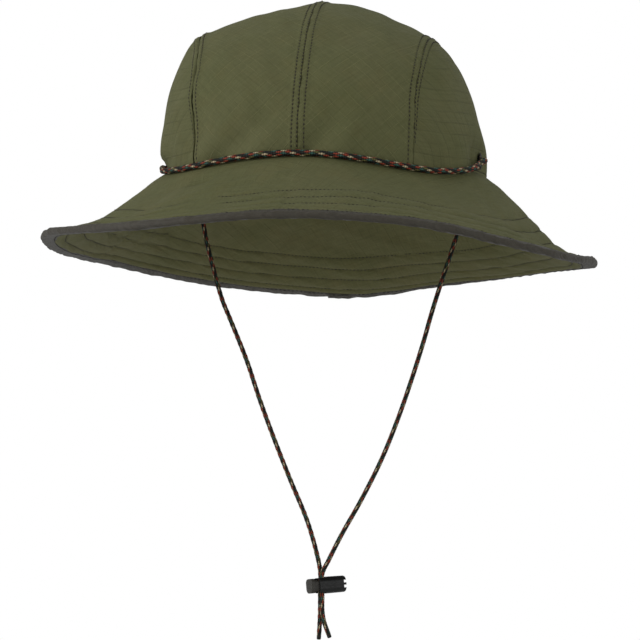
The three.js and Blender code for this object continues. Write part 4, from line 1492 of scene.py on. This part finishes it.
def binding_section():
    """The tape's outer outline, (along, out, way out): over the top, round the edge and back."""
    top, gap = 0.0006, 0.0004
    low = -BRIM_DEPTH - top
    middle = -BRIM_DEPTH / 2
    radius = top - middle
    section = [(-BINDING_WIDTH, top, 0, 1)]
    section += [(a, top, 0, 1) for a in BINDING_FLAT]
    for angle in np.linspace(80, -80, 9):
        c, s = math.cos(angle * DEGREES), math.sin(angle * DEGREES)
        section.append((gap + 0.72 * radius * c, middle + radius * s, c, s))
    section += [(a, low, 0, -1) for a in BINDING_FLAT[::-1]]
    section.append((-BINDING_WIDTH, low, 0, -1))
    return np.array(section)


def make_binding():
    bearing = np.linspace(BINDING_JOIN, BINDING_JOIN + 360 + BINDING_LAP, 900)
    along, out, way_along, way_out = binding_section().T
    share = 1 + along[None, :] / around(BRIM_REACH, bearing)[:, None]
    points = brim_point(bearing[:, None], share)
    normal = brim_normal(bearing[:, None], share)
    outward = unit(brim_point(bearing[:, None], share + 0.01) - points)
    way = normal * way_out[:, None] + outward * way_along[:, None]
    last = 1 + 0 * bearing
    rim_line = brim_point(bearing, last)
    edge = unit(rim_line - brim_point(bearing, 0.97 + 0 * bearing))
    points = points + normal * out[:, None]
    rounded = np.abs(way_along) > 0
    points[:, rounded] = (
        rim_line[:, None]
        + edge[:, None] * along[rounded][:, None]
        + brim_normal(bearing, last)[:, None] * out[rounded][:, None]
    )
    s, d = lengths(points, 0), lengths(points, 1)
    rim = np.minimum(d, d[:, -1:] - d)
    height = 0.00022 * flat_field(s, d, 0.011, 2.2, 91) + 0.00012 * flat_field(s, d, 0.005, 3, 92)
    height -= 0.00022 * valley(rim - (BINDING_WIDTH - BINDING_STITCH), 0.0006)
    height -= 0.00025 * smooth_step(0.0006, 0, rim)
    lap = smooth_step(BINDING_JOIN + 360 - 1.2, BINDING_JOIN + 360 + 0.4, bearing)
    height += 0.00062 * lap[:, None]
    outer = points + way * height[..., None]
    inner = outer - way * BINDING_THICKNESS
    tape = satin_tape("binding tape", BINDING)
    # A painted highlight: a pale band on the upper side of the tape's rounded edge.
    edge_highlight = np.exp(-((d - d[:, -1:] * 0.40) / 0.0016) ** 2)
    uv = np.stack([s, d], -1)
    piece = cloth_piece("brim_binding_tape", outer, inner, uv, False, tape, edge_highlight)
    rows = [(outer[:, k], normal[:, k] * sign, {}) for k, sign in ((3, 1), (-4, -1))]
    thread = sewing_thread("binding thread", shaded(BINDING, 0.6))
    return piece, stitching("brim_binding_stitching", rows, thread)


binding, binding_stitches = make_binding()

for cloth, stitches, slot, node in (
    (brim_top, brim_top_stitches, "shell_fabric", "brim_top"),
    (brim_under, brim_under_stitches, "underside_fabric", "brim_underside"),
):
    belongs(cloth, "hat", slot, node)
    belongs(stitches, "hat", slot)
belongs(interlining, "hat", "interlining", "brim_interlining")
belongs(binding, "hat", "binding_tape", "brim_binding")
belongs(binding_stitches, "hat", "binding_tape")


# ---- eyelets ----

lacquer = painted_metal("black lacquered brass", linear(20, 20, 18), linear(150, 120, 62))
EYELET_PROFILE = np.array([
    (2.30, -3.15), (2.30, -0.2), (2.38, 0.18), (2.62, 0.42), (3.0, 0.5), (3.6, 0.44),
    (4.2, 0.26), (4.55, 0.06), (4.6, -0.05), (4.45, -0.1), (2.85, -0.1), (2.80, -0.3),
    (2.80, -3.15),
]) * MM
WASHER_PROFILE = np.array([
    (3.10, 0.05), (3.05, -0.15), (3.2, -0.38), (3.8, -0.46), (4.4, -0.38), (4.6, -0.15),
    (4.55, 0.05),
]) * MM
for name, side in SIDES:
    rim = lathe(f"{name}_eyelet_rim", EYELET_PROFILE, side, HEAD_HALF_WIDTH + 0.0003, lacquer)
    washer = lathe(
        f"{name}_eyelet_collar", WASHER_PROFILE, side, HEAD_HALF_WIDTH - 0.00225, lacquer,
    )
    belongs(rim, "hat", "eyelet_metal", f"{name}_eyelet")
    belongs(washer, "hat", "eyelet_metal", f"{name}_eyelet_washer")


# ---- cord lock, modelled along +X from the button's face ----

LOCK_PLACE = (
    Matrix.Translation(LOCK_CENTRE)
    @ Matrix.Rotation(LOCK_TURN * DEGREES, 4, "Z")
    @ Matrix.Rotation(-LOCK_TILT * DEGREES, 4, "Y")
    @ Matrix.Translation((-LOCK_CORD_STATION, 0, 0))
)
LOCK_LENGTH = 0.0195
BODY_MOUTH = 0.00455
CORD_SLOT_WIDTH = 0.0061
STEM_END = 0.0125
CAVITY_END = 0.0175
SPRING_OVERLAP = 0.00085       # how far the spring sits inside the end of the stem
WIRE = 0.00055
COIL_RADIUS = 0.002
COIL_TURNS = 5


def rounded_outline(width, height, corner, each=10):
    """A rounded rectangle in (y, z), with points along its straight sides too."""
    w, h = width / 2 - corner, height / 2 - corner
    centres = np.array([(w, h), (-w, h), (-w, -h), (w, -h)])
    out = []
    for k in range(4):
        ways = [
            (degrees_cos(a), degrees_sin(a)) for a in np.linspace(90 * k, 90 * k + 90, each)
        ]
        arc = [centres[k] + corner * np.array(way) for way in ways]
        goal = centres[(k + 1) % 4] + corner * np.array(ways[-1])
        side = [arc[-1] + (goal - arc[-1]) * t for t in np.linspace(0, 1, 10)[1:-1]]
        out += arc + side
    return np.array(out)


def loft(name, stations, material=None, ridges=0.0):
    """A closed bar through rounded sections, each (x, width, height, corner)."""
    rings = []
    for x, width, height, corner in stations:
        ring = rounded_outline(width, height, corner)
        if ridges:
            outer_ridges = valley(np.abs(ring[:, 1]) - 0.0019, 0.00042)
            bulge = ridges * (outer_ridges + 0.4 * valley(ring[:, 1], 0.0006))
            flank = smooth_step(0.7, 0.95, np.abs(ring[:, 0]) / (width / 2))
            ring[:, 0] += np.sign(ring[:, 0]) * bulge * flank
        rings.append(np.column_stack([np.full(len(ring), x), ring]))
    return bar(name, np.array(rings), material)


def slot_tool(low, high, width, corner=0.0012):
    """A cutting tool through the lock from top to bottom."""
    ring = rounded_outline(high - low, width, corner, 6)
    ring[:, 0] += (low + high) / 2
    ends = [np.column_stack([ring, np.full(len(ring), z)]) for z in (-0.008, 0.008)]
    return bar("cut", np.array(ends))


def box_tool(low, high):
    xs, ys, zs = zip(low, high)
    points = np.array([(x, y, z) for x in xs for y in ys for z in zs])
    faces = np.array([
        (0, 1, 3, 2), (4, 6, 7, 5), (0, 4, 5, 1), (2, 3, 7, 6), (0, 2, 6, 4), (1, 5, 7, 3),
    ])
    return closed_piece("cut", points, [faces])


def finish_moulding(piece, width):
    """Rounds a moulding's edges and puts it in its place on the cords."""
    made = piece.modifiers.new("edges", "BEVEL")
    made.width = width
    made.segments = 3
    made.limit_method = "ANGLE"
    made.angle_limit = 40 * DEGREES
    made.use_clamp_overlap = True
    bpy.context.view_layer.update()
    apply_modifiers(piece)
    piece.data.transform(LOCK_PLACE)
    piece.data.set_sharp_from_angle(angle=38 * DEGREES)


def make_lock_body():
    black = moulded_plastic("black lock plastic", linear(5, 6, 5), 0.50)
    corner = 0.0034
    stations = [
        (BODY_MOUTH, 0.0093, 0.0082, corner - 0.0003),
        (BODY_MOUTH + 0.00025, 0.0096, 0.0086, corner),
        (BODY_MOUTH + 0.0009, 0.0097, 0.0088, corner), (0.0100, 0.0096, 0.0088, corner),
        (0.0160, 0.0095, 0.0087, corner), (LOCK_LENGTH - 0.0006, 0.0094, 0.0086, corner),
        (LOCK_LENGTH, 0.0089, 0.0080, corner - 0.0002),
    ]
    body = loft("cord_lock_barrel", stations, black, 0.00028)
    notch = LOCK_LENGTH - 0.0014
    cavity = (0.0082, 0.0065, 0.0016)
    tools = [
        loft("cut", [(BODY_MOUTH - 0.001, *cavity), (CAVITY_END, *cavity)]),
        slot_tool(BODY_MOUTH - 0.004, 0.0092, CORD_SLOT_WIDTH),
        box_tool((notch, -0.006, 0.0006), (0.022, 0.006, 0.0020)),
        box_tool((notch, -0.006, -0.0020), (0.022, 0.006, -0.0006)),
        box_tool((notch, -0.0009, 0.0027), (0.022, 0.0009, 0.006)),
        box_tool((notch, -0.0009, -0.006), (0.022, 0.0009, -0.0027)),
    ]
    carve(body, *tools)
    finish_moulding(body, 0.00016)
    return body


def make_lock_button():
    grey = moulded_plastic("grey button plastic", linear(40, 38, 32), 0.50)
    stem = (0.0077, 0.0059, 0.0014)
    stations = [
        (0, 0.0076, 0.0064, 0.0018), (0.00018, 0.0083, 0.0071, 0.0021),
        (0.0006, 0.0088, 0.0076, 0.0022), (0.0019, 0.0088, 0.0076, 0.0022),
        (0.0022, 0.0086, 0.0074, 0.0021), (0.00222, *stem), (0.0070, *stem), (STEM_END, *stem),
    ]
    button = loft("cord_lock_plunger", stations, grey)
    seat = bar_along_x(0.0026, STEM_END - 0.001, STEM_END + 0.002)
    seat.data.transform(Matrix.Translation((0, -EYELET_Y, -EYELET_Z)))
    carve(button, slot_tool(0.0029, 0.0093, CORD_SLOT_WIDTH), seat)
    finish_moulding(button, 0.00012)
    return button


def make_lock_spring():
    start, end = STEM_END - SPRING_OVERLAP + WIRE / 2, CAVITY_END - 0.00015 - WIRE / 2
    t = np.linspace(0, 1, 220)
    pitch = np.interp(t, [0, 0.13, 0.87, 1], [0, 0.035, 0.965, 1])
    angle = 2 * math.pi * COIL_TURNS * t
    x = start + (end - start) * pitch
    line = np.stack([x, COIL_RADIUS * np.cos(angle), COIL_RADIUS * np.sin(angle)], -1)
    rings = rings_around(line, circle(12), WIRE / 2)
    spring = bar("cord_lock_coil", rings, drawn_wire("drawn spring wire"))
    spring.data.transform(LOCK_PLACE)
    return spring


lock_body, lock_button, lock_spring = make_lock_body(), make_lock_button(), make_lock_spring()
belongs(lock_body, "cord_lock", "lock_plastic", "cord_lock_body")
belongs(lock_button, "lock_button", "button_plastic", "cord_lock_button")
belongs(lock_spring, "cord_lock", "spring_steel", "cord_lock_spring")
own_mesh(lock_spring)


# ---- floor and light ----

FLOOR_Z = -0.36


def add_floor():
    size = 14.0
    corners = ((-size, -size), (size, -size), (size, size), (-size, size))
    points = np.array([(x, y, FLOOR_Z) for x, y in corners])
    n = Nodes("pale floor")
    soft = n.noise(n.position(), 0.8, 3.0)
    tone = n.mix(n.band(soft, 0.3, 0.7), (0.80, 0.80, 0.795), (0.84, 0.84, 0.835))
    paint = n.finish(Base_Color=tone, Roughness=0.85)
    floor = make_piece("floor", points, [np.array([[0, 1, 2, 3]])], material=paint)


def add_light(name, place, aim, size, power):
    data = bpy.data.lights.new(name, "AREA")
    data.shape = "DISK"
    data.size = size
    data.energy = power
    light = bpy.data.objects.new(name, data)
    bpy.context.scene.collection.objects.link(light)
    light.location = place
    light.rotation_euler = (Vector(aim) - Vector(place)).to_track_quat("-Z", "Y").to_euler()


def add_world(seen, ambient):
    """A white studio backdrop that lights the hat more softly than it looks."""
    world = bpy.data.worlds.new("studio")
    bpy.context.scene.world = world
    world.use_nodes = True
    tree = world.node_tree
    tree.nodes.clear()
    backdrop, fill = (tree.nodes.new("ShaderNodeBackground") for _ in range(2))
    shades = ((backdrop, seen, (1, 1, 1, 1)), (fill, ambient, (0.97, 0.985, 1.0, 1)))
    for shade, strength, colour in shades:
        shade.inputs["Strength"].default_value = strength
        shade.inputs["Color"].default_value = colour
    path = tree.nodes.new("ShaderNodeLightPath")
    mix = tree.nodes.new("ShaderNodeMixShader")
    output = tree.nodes.new("ShaderNodeOutputWorld")
    tree.links.new(path.outputs["Is Camera Ray"], mix.inputs[0])
    tree.links.new(fill.outputs[0], mix.inputs[1])
    tree.links.new(backdrop.outputs[0], mix.inputs[2])
    tree.links.new(mix.outputs[0], output.inputs[0])


add_floor()
add_world(1.0, 0.42)
add_light("key", (-2.0, -1.5, 1.0), (0, 0, 0), 1.6, 29)
add_light("front fill", (1.5, -2.1, 0.1), (0, 0, -0.03), 1.4, 15)
add_light("left fill", (-2.4, -0.6, 0.2), (0, 0, 0), 1.4, 15)
add_light("right fill", (2.4, -0.5, 0.2), (0, 0, 0), 1.4, 7)
add_light("top", (0.2, 0.5, 1.9), (0, 0, 0), 1.4, 6)
bpy.context.scene.view_settings.view_transform = "Standard"
